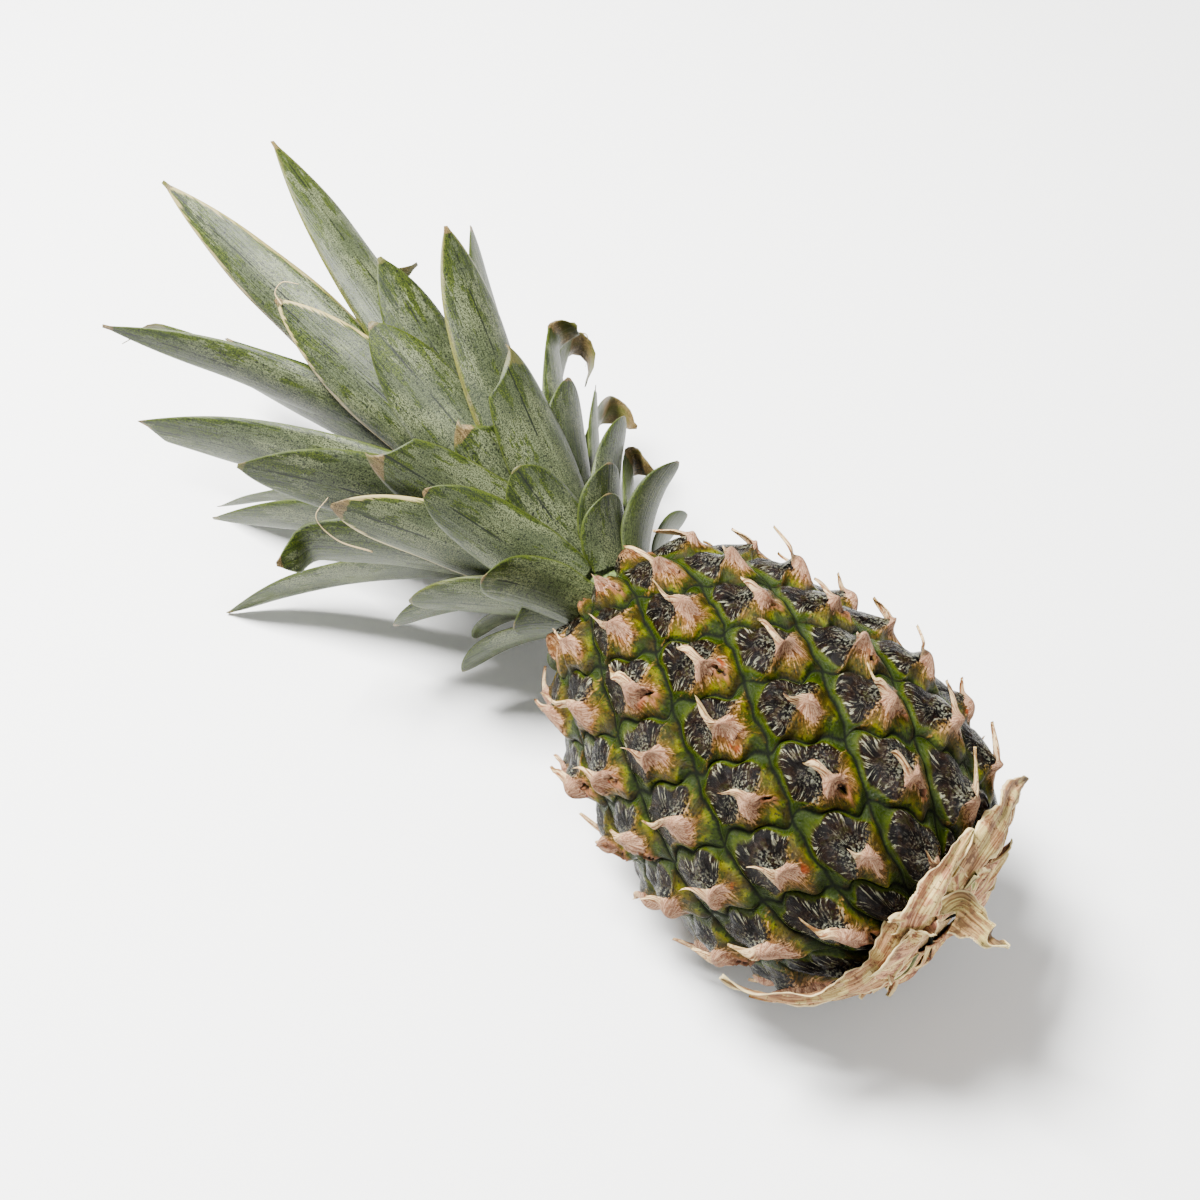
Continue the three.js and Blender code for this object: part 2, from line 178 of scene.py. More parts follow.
def tear(side, up, chance):
    """How much a place is on the rim of an eye's tear and how much it is in the opening, each up to 1."""
    across = 1.5 * (side - 0.3 * (chance[..., 4] - 0.5))
    radius = TEAR["radius"] * (0.6 + 0.8 * chance[..., 5])
    ragged = 1 + 0.25 * np.sin(5 * np.arctan2(up - TEAR["up"], across) + 20 * chance[..., 3])
    apart = np.hypot(across, up - TEAR["up"]) / (radius * ragged)
    torn = chance[..., 6] < TEAR["share"]
    return torn * bell(apart - 1, 0.35), torn * smoothstep(1.0, 0.6, apart)


def from_hub(x, y):
    """How far aside, up and away from its hub a place is. x and y count from the middle of the eye."""
    side, up = x - y, HUB["drop"] - (x + y)
    return side, up, np.hypot(side, up)


def relief(x, y, chance):
    """Height over the outline at x and y from the middle of an eye, each from -0.5 to 0.5."""
    side, up, away = from_hub(x, y)
    edge_x, edge_y = np.abs(2 * x), np.abs(2 * y)
    lip = (1 - edge_x**LIP_POWER) * (1 - edge_y**LIP_POWER)
    dome = (1 - edge_x**DOME_POWER) * (1 - edge_y**DOME_POWER)
    on_body = smoothstep(0.06, -0.04, up - body_line(side))
    hub = HUB["height"] * (0.7 + 0.6 * chance[..., 0]) * bell(away, HUB["spread"])
    reach = np.clip(1 - np.abs(side), 0, 1) ** 0.6
    ridge = RIDGE["height"] * bell(up + 0.07 - 0.15 * side**2, RIDGE["spread"]) * reach
    slump = SLUMP * (0.7 + 0.6 * chance[..., 1]) * away * on_body
    turn = np.arctan2(up, side)
    wave = np.sin(WRINKLE["count"] * turn + 9 * chance[..., 3] + 3 * np.sin(7 * away))
    wrinkle = WRINKLE["height"] * wave * smoothstep(0.15, 0.45, away) * (1 - on_body)
    fold = np.sin(FOLD["count"] * turn + 20 * chance[..., 2] + 2 * np.sin(9 * away))
    fold = FOLD["height"] * fold * smoothstep(0.1, 0.3, away) * on_body
    rim, hollow = tear(side, up, chance)
    torn = TEAR["rim"] * rim - TEAR["depth"] * hollow
    swell = 0.8 * (chance[..., 7] - 0.5) * dome
    body = GROOVE * (lerp(DOME_HEIGHT * dome, lip, on_body) - 1)
    return body + hub + swell + (ridge - slump + torn) * lip + (wrinkle + fold) * dome


SEED, CHANCE_ROWS, SPARE_EYES = 11, 200, 20
rng = np.random.default_rng(SEED)
EYE_CHANCES = rng.random((CHANCE_ROWS, 8))
FIRST_EYE = int(np.floor(INDEX[0])) - SPARE_EYES


def chances(eye):
    """Eight random numbers from 0 to 1 that belong to an eye."""
    return EYE_CHANCES[np.asarray(eye, int) - FIRST_EYE]


print("tears in the rows of chances:", int(np.sum(EYE_CHANCES[:, 6] < TEAR["share"])), "of", CHANCE_ROWS)

# %% [markdown]
# ## From arrays to a piece
# Blender builds a mesh from points and faces. Patterns need to know where on the eye or leaf they are,
# so the mesh also carries named values at its face corners, which a material reads with an Attribute
# node. Face corners, not points, because two eyes that share a groove disagree about where in the eye
# it is.

# %% Helpers that make meshes
UV_RIM = 0.02


def add_values(mesh, name, values):
    """Stores three numbers for each face corner."""
    layer = mesh.attributes.new(name, "FLOAT_VECTOR", "CORNER")
    layer.data.foreach_set("vector", np.ascontiguousarray(values, np.float32).ravel())


def make_piece(name, points, faces, material, corner_values=None, uv=None, replaced=()):
    """A smooth mesh piece that rides on the fruit. Its points are in millimetres, none below the surface."""
    points = points.copy()
    points[:, 2] = np.maximum(points[:, 2], 0)
    mesh = bpy.data.meshes.new(name)
    mesh.from_pydata((points * MM).tolist(), [], [tuple(face) for face in faces])
    mesh.polygons.foreach_set("use_smooth", np.ones(len(mesh.polygons), bool))
    for key, values in (corner_values or {}).items():
        add_values(mesh, key, values)
    if uv is not None:
        layer = mesh.uv_layers.new(name="OFBake")
        layer.data.foreach_set("uv", np.ascontiguousarray(uv, np.float32).ravel())
    mesh.materials.append(material)
    made = bpy.data.objects.new(name, mesh)
    bpy.context.scene.collection.objects.link(made)
    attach(made, "root")
    if replaced:
        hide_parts(*replaced)
    return made


def make_sheets(name, rings, material, values, replaced=()):
    """One piece of closed sheets. rings and values have the shape (sheets, rows, points round, 3)."""
    sheets, rows, around = rings.shape[:3]
    ids = np.arange(sheets * rows * around).reshape(sheets, rows, around)
    ahead = np.roll(ids, -1, axis=2)
    quads = np.stack([ids[:, :-1], ahead[:, :-1], ahead[:, 1:], ids[:, 1:]], axis=-1).reshape(-1, 4)
    caps = [list(ids[s, 0, ::-1]) for s in range(sheets)] + [list(ids[s, -1]) for s in range(sheets)]
    faces = quads.tolist() + caps
    corners = np.concatenate([quads.ravel(), np.array(caps).ravel()])
    corner_values = {key: value.reshape(-1, 3)[corners] for key, value in values.items()}
    tile = int(np.ceil(np.sqrt(sheets)))
    s, r, a = np.meshgrid(np.arange(sheets), np.arange(rows), np.arange(around), indexing="ij")
    u, v = a / around, r / (rows - 1)
    u_next = (a + 1) / around

    def placed(u, v, s):
        """Each sheet has its own square of the texture plane, with a rim left free."""
        right, up = s % tile + lerp(UV_RIM, 1 - UV_RIM, u), s // tile + lerp(UV_RIM, 1 - UV_RIM, v)
        return np.stack([right, up], axis=-1) / tile

    here, there = placed(u, v, s), placed(u_next, v, s)
    quad_uv = np.stack([here[:, :-1], there[:, :-1], there[:, 1:], here[:, 1:]], axis=3).reshape(-1, 2)
    cap_uv = here.reshape(-1, 2)[np.array(caps).ravel()]
    uv = np.concatenate([quad_uv, cap_uv])
    return make_piece(name, rings.reshape(-1, 3), faces, material, corner_values, uv, replaced)


# %% [markdown]
# ## Materials
# Colours are picked as sRGB hex values, which is how a screen names them, and one function turns them
# to the linear values that Blender mixes. One small function adds a node with its settings and links,
# and gives back an output to link on. A natural surface is many thin layers of colour, so a second
# function lays coats over a ground.

# %% Colour and node helpers
COLOUR_RESULT = 2  # the Mix node's colour output
SMOOTH = {"interpolation_type": "SMOOTHSTEP"}


def linear(hex_colour, alpha=1.0):
    """An sRGB hex colour as linear red, green, blue and alpha."""
    parts = np.array([int(hex_colour[i : i + 2], 16) for i in (1, 3, 5)]) / 255
    return (*np.where(parts <= 0.04045, parts / 12.92, ((parts + 0.055) / 1.055) ** 2.4), alpha)


def node(tree, kind, inputs=None, output=0, **settings):
    """Adds a node and gives one output. inputs maps sockets to numbers, hex colours or outputs to link."""
    made = tree.nodes.new("ShaderNode" + kind)
    for key, value in settings.items():
        setattr(made, key, value)
    for key, value in (inputs or {}).items():
        if isinstance(value, bpy.types.NodeSocket):
            tree.links.new(value, made.inputs[key])
        else:
            made.inputs[key].default_value = linear(value) if isinstance(value, str) else value
    return made.outputs[output]


def new_material(name, **sockets):
    """A material with a Principled shader, whose sockets are set by name."""
    material = bpy.data.materials.new(name)
    material.use_nodes = True
    shader = material.node_tree.nodes["Principled BSDF"]
    for key, value in sockets.items():
        shader.inputs[key.replace("_", " ")].default_value = value
    return material, material.node_tree, shader


def link_shader(tree, shader, outputs):
    for key, output in outputs.items():
        tree.links.new(output, shader.inputs[key])


def set_stops(ramp_output, stops):
    """Sets a colour ramp's stops, from (place, hex colour) pairs."""
    elements = ramp_output.node.color_ramp.elements
    for place, colour in stops[2:]:
        elements.new(place)
    for element, (place, colour) in zip(elements, sorted(stops)):
        element.position = place
        element.color = linear(colour)


def painted(tree, ground, coats):
    """Lays coats over a ground. Each is (ranges, strength, colour), and a range is (pattern, start, full).

    A coat fades in as its pattern goes from start to full. With several ranges it shows where all of them
    do, and a range of only (pattern,) takes the pattern as it is.
    """
    for ranges, strength, colour in coats:
        share = strength
        for pattern, *ends in ranges:
            if ends:
                pattern = node(tree, "MapRange", {0: pattern, 1: ends[0], 2: ends[1]}, **SMOOTH)
            share = node(tree, "Math", {0: pattern, 1: share}, operation="MULTIPLY")
        ground = node(tree, "Mix", {0: share, 6: ground, 7: colour}, COLOUR_RESULT, data_type="RGBA")
    return ground


FIBRES = 15.0  # a strand is a fifteenth as wide as its distance from the hub: 0.6 mm at half way out


def fan_fibres(tree, place, luck):
    """Noise in strands that fan out from the hub of an eye. It is drawn on the direction from there."""
    aside, up, away = node(tree, "SeparateXYZ", {0: place}).node.outputs
    heading = node(tree, "CombineXYZ", {0: aside, 1: up})
    direction = node(tree, "VectorMath", {0: heading}, operation="NORMALIZE")
    fanned = node(tree, "VectorMath", {0: direction, 1: (FIBRES,) * 3, 2: luck}, operation="MULTIPLY_ADD")
    along_strand = node(tree, "Math", {0: away, 1: FIBRES / 3}, operation="MULTIPLY")
    outwards = node(tree, "CombineXYZ", {2: along_strand})
    drawn = node(tree, "VectorMath", {0: fanned, 1: outwards}, operation="ADD")
    return node(tree, "TexNoise", {"Vector": drawn, "Scale": 1.0, "Detail": 5.0, "Roughness": 0.7})


print("leaf wax in linear values:", [round(float(part), 3) for part in linear("#9da285")[:3]])

# %% [markdown]
# ## The rind
# A pineapple's rind is living tissue with a thin natural wax. Its grooves are deep green, darkened to
# nearly black at the crease as painted shade. The fleshy bracts go from green through yellow to a dry
# pinkish tan at the hub, and the domes over the flowers are nearly black, with a grey bloom that is
# partly painted highlight and pale dashes that are painted glints. The wax has an IOR of 1.45 but is
# thin and dusty, so it mirrors only a little. Its roughness goes from 0.2 on the smooth domes through
# 0.36 on the flesh to 0.8 in the grooves.

# %% The rind's material
# Both ramps run from the crease outwards, and their dark first stops are painted shade in the crease.
FLESH_STOPS = [
    (0.0, "#465402"), (0.07, "#6b7602"), (0.15, "#8d8c06"),
    (0.24, "#75700c"), (0.4, "#6b6022"), (1.0, "#7a5f3c"),
]
EDGE_STOPS = [(0.0, "#465402"), (0.08, "#5a6604"), (0.18, "#747a0c")]
PORE, MOTTLE, SPOT = 0.9 * MM, 3.6 * MM, 7 * MM  # sizes of the patterns on the real rind
PATTERN_SHIFT = 9.0  # the farthest that an eye's patterns are moved, so that no two eyes match


def rind_material():
    # Waxy living rind, moist in the flesh: deep colour and a weak, broken shine on the domes.
    material, tree, shader = new_material("waxy_pineapple_rind", IOR=1.45, Specular_IOR_Level=0.12)
    place = node(tree, "Attribute", output="Vector", attribute_name="eye_place")
    marks = node(tree, "Attribute", output="Vector", attribute_name="eye_marks")
    luck = node(tree, "Attribute", output="Vector", attribute_name="eye_luck")
    tears = node(tree, "Attribute", output="Vector", attribute_name="eye_tear")
    away = node(tree, "SeparateXYZ", {0: place}, output=2)
    body, rim, dried = node(tree, "SeparateXYZ", {0: marks}).node.outputs
    tear_rim, tear_hollow, crease = node(tree, "SeparateXYZ", {0: tears}).node.outputs
    where = node(tree, "TexCoord", output="Object")
    fine = node(tree, "TexNoise", {"Vector": where, "Scale": 1 / PORE, "Detail": 4.0})
    mottle = node(tree, "TexNoise", {"Vector": where, "Scale": 1 / MOTTLE, "Detail": 4.0})
    spots = node(tree, "TexNoise", {"Vector": where, "Scale": 1 / SPOT, "Detail": 2.0})
    fibre = fan_fibres(tree, place, luck)
    grain = node(tree, "Math", {0: fine, 1: 0.5}, operation="SUBTRACT")
    strand = node(tree, "Math", {0: fibre, 1: 0.5}, operation="SUBTRACT")
    # Dryness grows towards the hub, strand by strand, and each eye has dried in its own measure.
    drying = node(tree, "Math", {0: grain, 1: 0.7, 2: dried}, operation="MULTIPLY_ADD")
    drying = node(tree, "Math", {0: strand, 1: 1.5, 2: drying}, operation="MULTIPLY_ADD")
    own_luck = node(tree, "SeparateXYZ", {0: luck})
    own_dryness = node(tree, "MapRange", {0: own_luck, 1: 0.0, 2: PATTERN_SHIFT, 3: -0.16, 4: 0.1}, **SMOOTH)
    drying = node(tree, "Math", {0: drying, 1: own_dryness}, operation="ADD")
    streak = node(tree, "Math", {0: grain, 1: 0.5, 2: fibre}, operation="MULTIPLY_ADD")
    tan = painted(tree, "#7c5740", [
        ([(streak, 0.44, 0.58)], 1.0, "#cdb092"),
        ([(mottle, 0.5, 0.62)], 0.7, "#a3834a"),
    ])
    torn_flesh = painted(tree, "#1c1408", [([(mottle, 0.45, 0.6)], 1.0, "#6a6a14")])
    # The fleshy half, from the crease, darkened as painted shade, over the bright margin to the duller
    # middle.
    climb = node(tree, "Math", {0: grain, 1: 0.2, 2: rim}, operation="MULTIPLY_ADD")
    flesh = node(tree, "ValToRGB", {"Fac": climb})
    set_stops(flesh, FLESH_STOPS)
    flesh = painted(tree, flesh, [
        ([(mottle, 0.46, 0.58)], 0.8, "#465204"),  # greener patches
        ([(spots, 0.45, 0.6)], 0.55, "#5c4620"),  # sunburnt patches
        ([(fine, 0.55, 0.66), (rim, 0.12, 0.3)], 0.5, "#b0a682"),  # pale pores
        ([(fine, 0.44, 0.32)], 0.7, "#33260c"),  # dark pores
        ([(drying, 0.22, 0.5)], 0.6, "#8a7228"),  # yellowing round the dry part
        ([(drying, 0.4, 0.72)], 0.85, tan),  # strands of dry tan that fan out from the hub
        ([(away, 0.55, 0.1), (mottle, 0.54, 0.64)], 0.6, "#66382a"),  # bruises
        ([(away, 0.5, 0.3), (spots, 0.66, 0.72)], 0.7, "#a3521a"),  # a few orange spots
        ([(tear_rim,)], 0.9, "#b58a72"),
        ([(tear_hollow,)], 1.0, torn_flesh),
    ])
    # The dome: nearly black, with a grey bloom near the hub that is partly painted highlight, pale dashes
    # further out that are painted glints, and a green edge.
    bloom_and_highlight_reach = node(tree, "Math", {0: strand, 1: -0.9, 2: away}, operation="MULTIPLY_ADD")
    streaked = node(tree, "MapRange", {0: fibre, 1: 0.4, 2: 0.55, 3: 0.45, 4: 1.0}, **SMOOTH)
    ragged_rim = node(tree, "Math", {0: grain, 1: 0.12, 2: rim}, operation="MULTIPLY_ADD")
    edge_green = node(tree, "ValToRGB", {"Fac": climb})
    set_stops(edge_green, EDGE_STOPS)
    dome = painted(tree, "#21150d", [
        ([(mottle, 0.42, 0.6)], 1.0, "#443020"),
        # grey bloom: partly wax, partly painted highlight
        ([(bloom_and_highlight_reach, 0.6, 0.12), (fine, 0.47, 0.56), (streaked,)], 0.75, "#b3b5a6"),
        # painted glints: pale dashes near the dome's rim
        ([(fibre, 0.55, 0.6), (rim, 0.5, 0.22), (away, 0.25, 0.45)], 0.7, "#c6c6b2"),
        ([(ragged_rim, 0.2, 0.1)], 1.0, edge_green),
        ([(mottle, 0.57, 0.66)], 0.5, "#454a12"),
    ])
    ragged_body = node(tree, "Math", {0: grain, 1: 0.3, 2: body}, operation="MULTIPLY_ADD")
    on_body = node(tree, "MapRange", {0: ragged_body, 1: -0.05, 2: 0.04}, **SMOOTH)
    ragged_crease_shade = node(tree, "Math", {0: grain, 1: 0.06, 2: crease}, operation="MULTIPLY_ADD")
    colour = painted(tree, dome, [
        ([(on_body,)], 1.0, flesh),
        # painted shade: the crease darkened nearly to black
        ([(ragged_crease_shade, 0.07, 0.0)], 0.8, "#1a2203"),
    ])
    # A power makes the colour darker and stronger, as flesh is that soaks up light.
    colour = node(tree, "Gamma", {0: colour, 1: 1.72})
    glossy = node(tree, "MapRange", {0: on_body, 3: 0.2, 4: 0.36}, **SMOOTH)
    rough = node(tree, "MapRange", {0: crease, 1: 0.02, 2: 0.12, 3: 0.8, 4: glossy}, **SMOOTH)
    ribs = node(tree, "Bump", {"Strength": 1.0, "Distance": 1.0 * MM, "Height": fibre})
    pores = node(tree, "Bump", {"Strength": 0.6, "Distance": 0.6 * MM, "Height": fine, "Normal": ribs})
    link_shader(tree, shader, {"Base Color": colour, "Roughness": rough, "Normal": pores})
    return material


rind = rind_material()
print("material:", rind.name)

# %% [markdown]
# ## The skin mesh
# The grid's two directions follow the two families of eye rows. It closes round the fruit after
# thirteen eyes in one direction, where it meets itself eight eyes further along the other, so no seam
# shows. A grid that follows the eyes puts every groove exactly on a grid line, which a plain latitude
# and longitude grid can't do.

# %% Build the skin
CELLS = 30  # grid cells to an eye


def skin_grid():
    """Points of the skin with their lattice places, and its quads as (column, row) corners."""
    columns = MANY * CELLS
    lows = np.ceil((INDEX[0] * CELLS - FEW * np.arange(columns)) / MANY).astype(int)
    highs = np.floor((INDEX[-1] * CELLS - FEW * np.arange(columns)) / MANY).astype(int)
    starts = np.append(0, np.cumsum(highs - lows + 1))
    column = np.repeat(np.arange(columns), highs - lows + 1)
    row = np.arange(starts[-1]) - starts[column] + lows[column]

    def ids(p, q):
        wrapped = p == columns
        column_at = np.where(wrapped, 0, p)
        return starts[column_at] + np.where(wrapped, q + FEW * CELLS, q) - lows[column_at]

    quads = []
    for p in range(columns):
        low = lows[p]
        high = highs[p + 1] if p + 1 < columns else highs[0] - FEW * CELLS
        q = np.arange(low, high)
        quads.append(np.stack([np.full_like(q, p), q], axis=-1))
    quads = np.concatenate(quads)
    corners = quads[:, None, :] + np.array([[0, 0], [0, 1], [1, 1], [1, 0]])
    return column, row, corners, ids(corners[..., 0], corners[..., 1])


def close_ends(points, faces):
    """Fans every open edge of the skin to the axis, inside the crown or the stalk."""
    starts, ends = faces.ravel(), np.roll(faces, -1, axis=1).ravel()
    pairs = set(zip(starts.tolist(), ends.tolist()))
    crown_tip, stalk_tip = len(points), len(points) + 1
    tips = axis_point([STATION_ALONG[0], STATION_ALONG[-1]], [0, 0], [0, 0])
    along = (points - CENTRE) @ ALONG
    fans = [(b, a, crown_tip if along[a] > 0 else stalk_tip) for a, b in pairs if (b, a) not in pairs]
    return np.concatenate([points, tips]), sorted(fans)


def build_skin():
    column, row, corners, quad_ids = skin_grid()
    x, y = column / CELLS, row / CELLS
    eye_x, eye_y = np.round(x), np.round(y)
    luck = chances(FEW * eye_x + MANY * eye_y)
    points = skin_point(x, y, relief(x - eye_x, y - eye_y, luck))
    points, fans = close_ends(points, quad_ids)
    cx, cy = corners[..., 0] / CELLS, corners[..., 1] / CELLS
    middle_x, middle_y = cx.mean(axis=1, keepdims=True), cy.mean(axis=1, keepdims=True)
    ex, ey = np.round(middle_x), np.round(middle_y)
    lx, ly = cx - ex, cy - ey
    side, up, away = from_hub(lx, ly)
    rim = np.clip(1 - (np.abs(2 * lx) ** 3 + np.abs(2 * ly) ** 3) ** (1 / 3), 0, 1)
    along_ridge = 0.7 * bell(up + 0.08 - 0.15 * side**2, 0.09) * np.clip(1 - np.abs(side), 0, 1) ** 0.5
    dried = np.maximum(along_ridge, 1.1 * bell(np.hypot(0.9 * side, up + 0.12), 0.34))
    place = np.stack([side, up, away], axis=-1)
    marks = np.stack([body_line(side) - up, rim, dried], axis=-1)
    chance = chances(FEW * ex + MANY * ey)
    eye_luck = np.broadcast_to(chance[..., :3] * PATTERN_SHIFT, place.shape)
    crease = np.minimum(0.5 - np.abs(lx), 0.5 - np.abs(ly)) * 2
    tears = np.stack([*tear(side, up, chance), crease], axis=-1)
    index = FEW * cx + MANY * cy
    uv = np.stack([cx / MANY, (index - INDEX[0]) / (INDEX[-1] - INDEX[0])], axis=-1)
    blank = np.zeros((3 * len(fans), 3))
    values = {
        "eye_place": np.concatenate([place.reshape(-1, 3), blank]),
        "eye_marks": np.concatenate([marks.reshape(-1, 3), blank]),
        "eye_luck": np.concatenate([eye_luck.reshape(-1, 3), blank]),
        "eye_tear": np.concatenate([tears.reshape(-1, 3), blank]),
    }
    uv = np.concatenate([uv.reshape(-1, 2), blank[:, :2]])
    faces = quad_ids.tolist() + fans
    return make_piece("pineapple_rind", points, faces, rind, values, uv, ["fruit"])


skin = build_skin()
print("rind faces:", len(skin.data.polygons))

# %% [markdown]
# ## Dry eye bracts
# Each eye's bract has dried at its end. A ragged skirt of it fades over the flesh, and from the hub a
# long dry spike leans towards the crown. It is a thin sheet that sinks into the rind at its stalk end,
# lies on the hub, and stands free at its point. All of them are one piece, because some ninety separate
# ones would gain nothing.

# %% The dry bract's material
# Cells of noise to half a diagonal of the eye, across the spike and along it: fibres 0.5 mm wide.
SPIKE_FIBRES = (38.0, 3.0, 0.0)
DRY_GRAIN = 1.1 * MM


def dry_bract_material():
    # Dead papery leaf: matt, pinkish tan, with pale fibres that fan out and a darker brittle point.
    material, tree, shader = new_material("dry_eye_bract", Roughness=0.7, IOR=1.4, Specular_IOR_Level=0.3)
    place = node(tree, "Attribute", output="Vector", attribute_name="bract_place")
    luck = node(tree, "Attribute", output="Vector", attribute_name="bract_luck")
    up, away = node(tree, "SeparateXYZ", {0: place}).node.outputs[1:]
    fibre = fan_fibres(tree, place, luck)
    where = node(tree, "TexCoord", output="Object")
    fine = node(tree, "TexNoise", {"Vector": where, "Scale": 1 / DRY_GRAIN, "Detail": 4.0})
    # The spike's own fibres run along it.
    lengthwise = node(tree, "VectorMath", {0: place, 1: SPIKE_FIBRES, 2: luck}, operation="MULTIPLY_ADD")
    strands = node(tree, "TexNoise", {"Vector": lengthwise, "Scale": 1.0, "Detail": 3.0, "Roughness": 0.6})
    grain = node(tree, "Math", {0: fine, 1: 0.5}, operation="SUBTRACT")
    streak = node(tree, "Math", {0: grain, 1: 0.5, 2: fibre}, operation="MULTIPLY_ADD")
    spike = painted(tree, "#8a6242", [
        ([(strands, 0.42, 0.54)], 1.0, "#dcc49a"),
        ([(strands, 0.4, 0.34)], 0.8, "#573621"),
    ])
    dry = painted(tree, "#84604a", [
        ([(streak, 0.42, 0.58)], 1.0, "#c3a488"),
        ([(up, 0.0, 0.2)], 1.0, spike),
        ([(away, 0.3, 0.5)], 0.5, "#7b6a30"),
        ([(fine, 0.54, 0.64)], 0.6, "#7a4f3a"),
        ([(up, 0.5, 0.7)], 0.7, "#5a3b28"),
    ])
    dry = node(tree, "Gamma", {0: dry, 1: 1.3})
    bump = node(tree, "Bump", {"Strength": 0.9, "Distance": 0.7 * MM, "Height": fibre})
    link_shader(tree, shader, {"Base Color": dry, "Normal": bump})
    return material


dry_bract = dry_bract_material()
print("material:", dry_bract.name)

# %% Build the stars
STAR_ROWS, STAR_COLUMNS = 34, 11
STAR_START, SKIRT_WIDTH = -0.3, 0.34  # the skirt spreads towards the stalk, over the flesh
STAR_DROP = 0.05  # how far below the hub the spike starts, in half diagonals of the eye
ARM_WIDTH, ARM_FADE = 0.1, 0.06
SPINE_WIDTH, SPINE_LEAN, SPINE_SWING = 0.19, 0.2, 0.4
SPINE_REACH, MORE_REACH = 0.34, 0.26
BROKEN_SPINE = {"share": 0.12, "reach": 0.2}
SPINE_LIFT, FREE_FROM = 16.0, 0.06  # how steeply the spike stands up, and from where it is free
SPINE_FOLD = 0.8  # millimetres that its middle stands over its edges
SKIN_HOLD = 0.05  # the sheet follows the rind up to here
STAR_THICKNESS = 0.25
CROWDING = 1.6  # of the rows towards the arms
BARE_TOP, BARE_BASE = 4, 3  # eyes without a spike, at the two ends of the spiral


def star_sheets(eyes, luck):
    """Closed thin sheets, one to an eye, in the shape (eyes, rows, points round, 3), and their places."""
    count = len(eyes)
    step = np.linspace(-1, 1, STAR_ROWS)[None, :, None]
    across = np.linspace(-1, 1, STAR_COLUMNS)[None, None, :]
    pick = luck[:, :, None, None]
    reach = SPINE_REACH + MORE_REACH * pick[:, 0]
    reach = np.where(pick[:, 1] < BROKEN_SPINE["share"], BROKEN_SPINE["reach"], reach)
    start = STAR_START * (0.7 + 0.6 * pick[:, 7])
    up = np.where(step < 0, start, reach) * np.abs(step) ** CROWDING
    narrowing = 1 - np.clip(step, 0, 1) ** CROWDING
    skirt = SKIRT_WIDTH * (0.7 + 0.6 * pick[:, 2]) * smoothstep(0.05, STAR_START, up)
    width = SPINE_WIDTH * narrowing + ARM_WIDTH * np.exp(-np.abs(up) / ARM_FADE) * narrowing + skirt
    ragged = 1 + 0.09 * np.sin(37 * up + 40 * pick[:, 3]) * np.sin(61 * up + 25 * pick[:, 4])
    lean = SPINE_LEAN + 0.8 * (pick[:, 5] - 0.5)
    swing = SPINE_SWING * (pick[:, 3] - 0.5)
    side = width * ragged * across + lean * np.clip(up, 0, None) + swing * np.clip(up, 0, None) ** 2
    bow = 0.15 * side**2 * np.abs(across)
    risen = up + bow - STAR_DROP - HUB["drop"]
    x, y = (side - risen) / 2, (-risen - side) / 2
    lift = (0.3 + 0.7 * pick[:, 6]) * SPINE_LIFT * np.clip(up - FREE_FROM, 0, None)
    held_up = np.minimum(risen, SKIN_HOLD - HUB["drop"])
    held_x, held_y = (side - held_up) / 2, (-held_up - side) / 2
    eye_luck = np.broadcast_to(luck[:, None, None, :], (count, STAR_ROWS, STAR_COLUMNS, luck.shape[1]))
    seat = relief(np.clip(held_x, -0.5, 0.5), np.clip(held_y, -0.5, 0.5), eye_luck)
    away = np.hypot(side, up)
    sunk = smoothstep(0.14, 0.36, away) * smoothstep(0.12, 0.0, up)
    fold = SPINE_FOLD * (1 - np.abs(across)) * smoothstep(0.0, 0.2, up)
    height = seat + lerp(0.4, -0.5, sunk) + lift + fold
    ex, ey = eyes[:, 0][:, None, None], eyes[:, 1][:, None, None]
    over = skin_point(ex + x, ey + y, height + STAR_THICKNESS / 2)
    under = skin_point(ex + x, ey + y, height - STAR_THICKNESS / 2)
    rings = np.concatenate([over, under[:, :, ::-1]], axis=2)
    flat = np.stack(np.broadcast_arrays(side, up, away), axis=-1)
    place = np.concatenate([flat, flat[:, :, ::-1]], axis=2)
    return rings, place


def build_stars():
    eyes, numbers = [], []
    first, last = int(np.ceil(INDEX[0])) + BARE_TOP, int(np.floor(INDEX[-1])) - BARE_BASE
    for number in range(first, last + 1):
        x = (number * pow(FEW, -1, MANY)) % MANY
        eyes.append((x, (number - FEW * x) // MANY))
        numbers.append(number)
    eyes = np.array(eyes, float)
    luck = chances(numbers)
    rings, place = star_sheets(eyes, luck)
    spread = np.broadcast_to(luck[:, None, None, :3] * PATTERN_SHIFT, rings.shape)
    values = {"bract_place": place, "bract_luck": spread}
    return make_sheets("dry_eye_bracts", rings, dry_bract, values)


stars = build_stars()
print("eye bract faces:", len(stars.data.polygons))

# %% [markdown]
# ## Crown leaves
# A crown leaf is a stiff channelled blade. Its outer face carries a whitish wax that rubs off in green
# patches, its inner face is greener with fine cross bands, and its margin is a thin pale line. The CAD
# leaf has few rows, so the midline here is a smooth curve through the same points, and the width comes
# from the same formula.

# %% The leaf's material
LEAF_DEPTH = 7.0  # keeps the patterns of the inner and the outer face apart
LEAF_SHIFT = 20.0  # the farthest that a leaf's patterns are moved, in millimetres


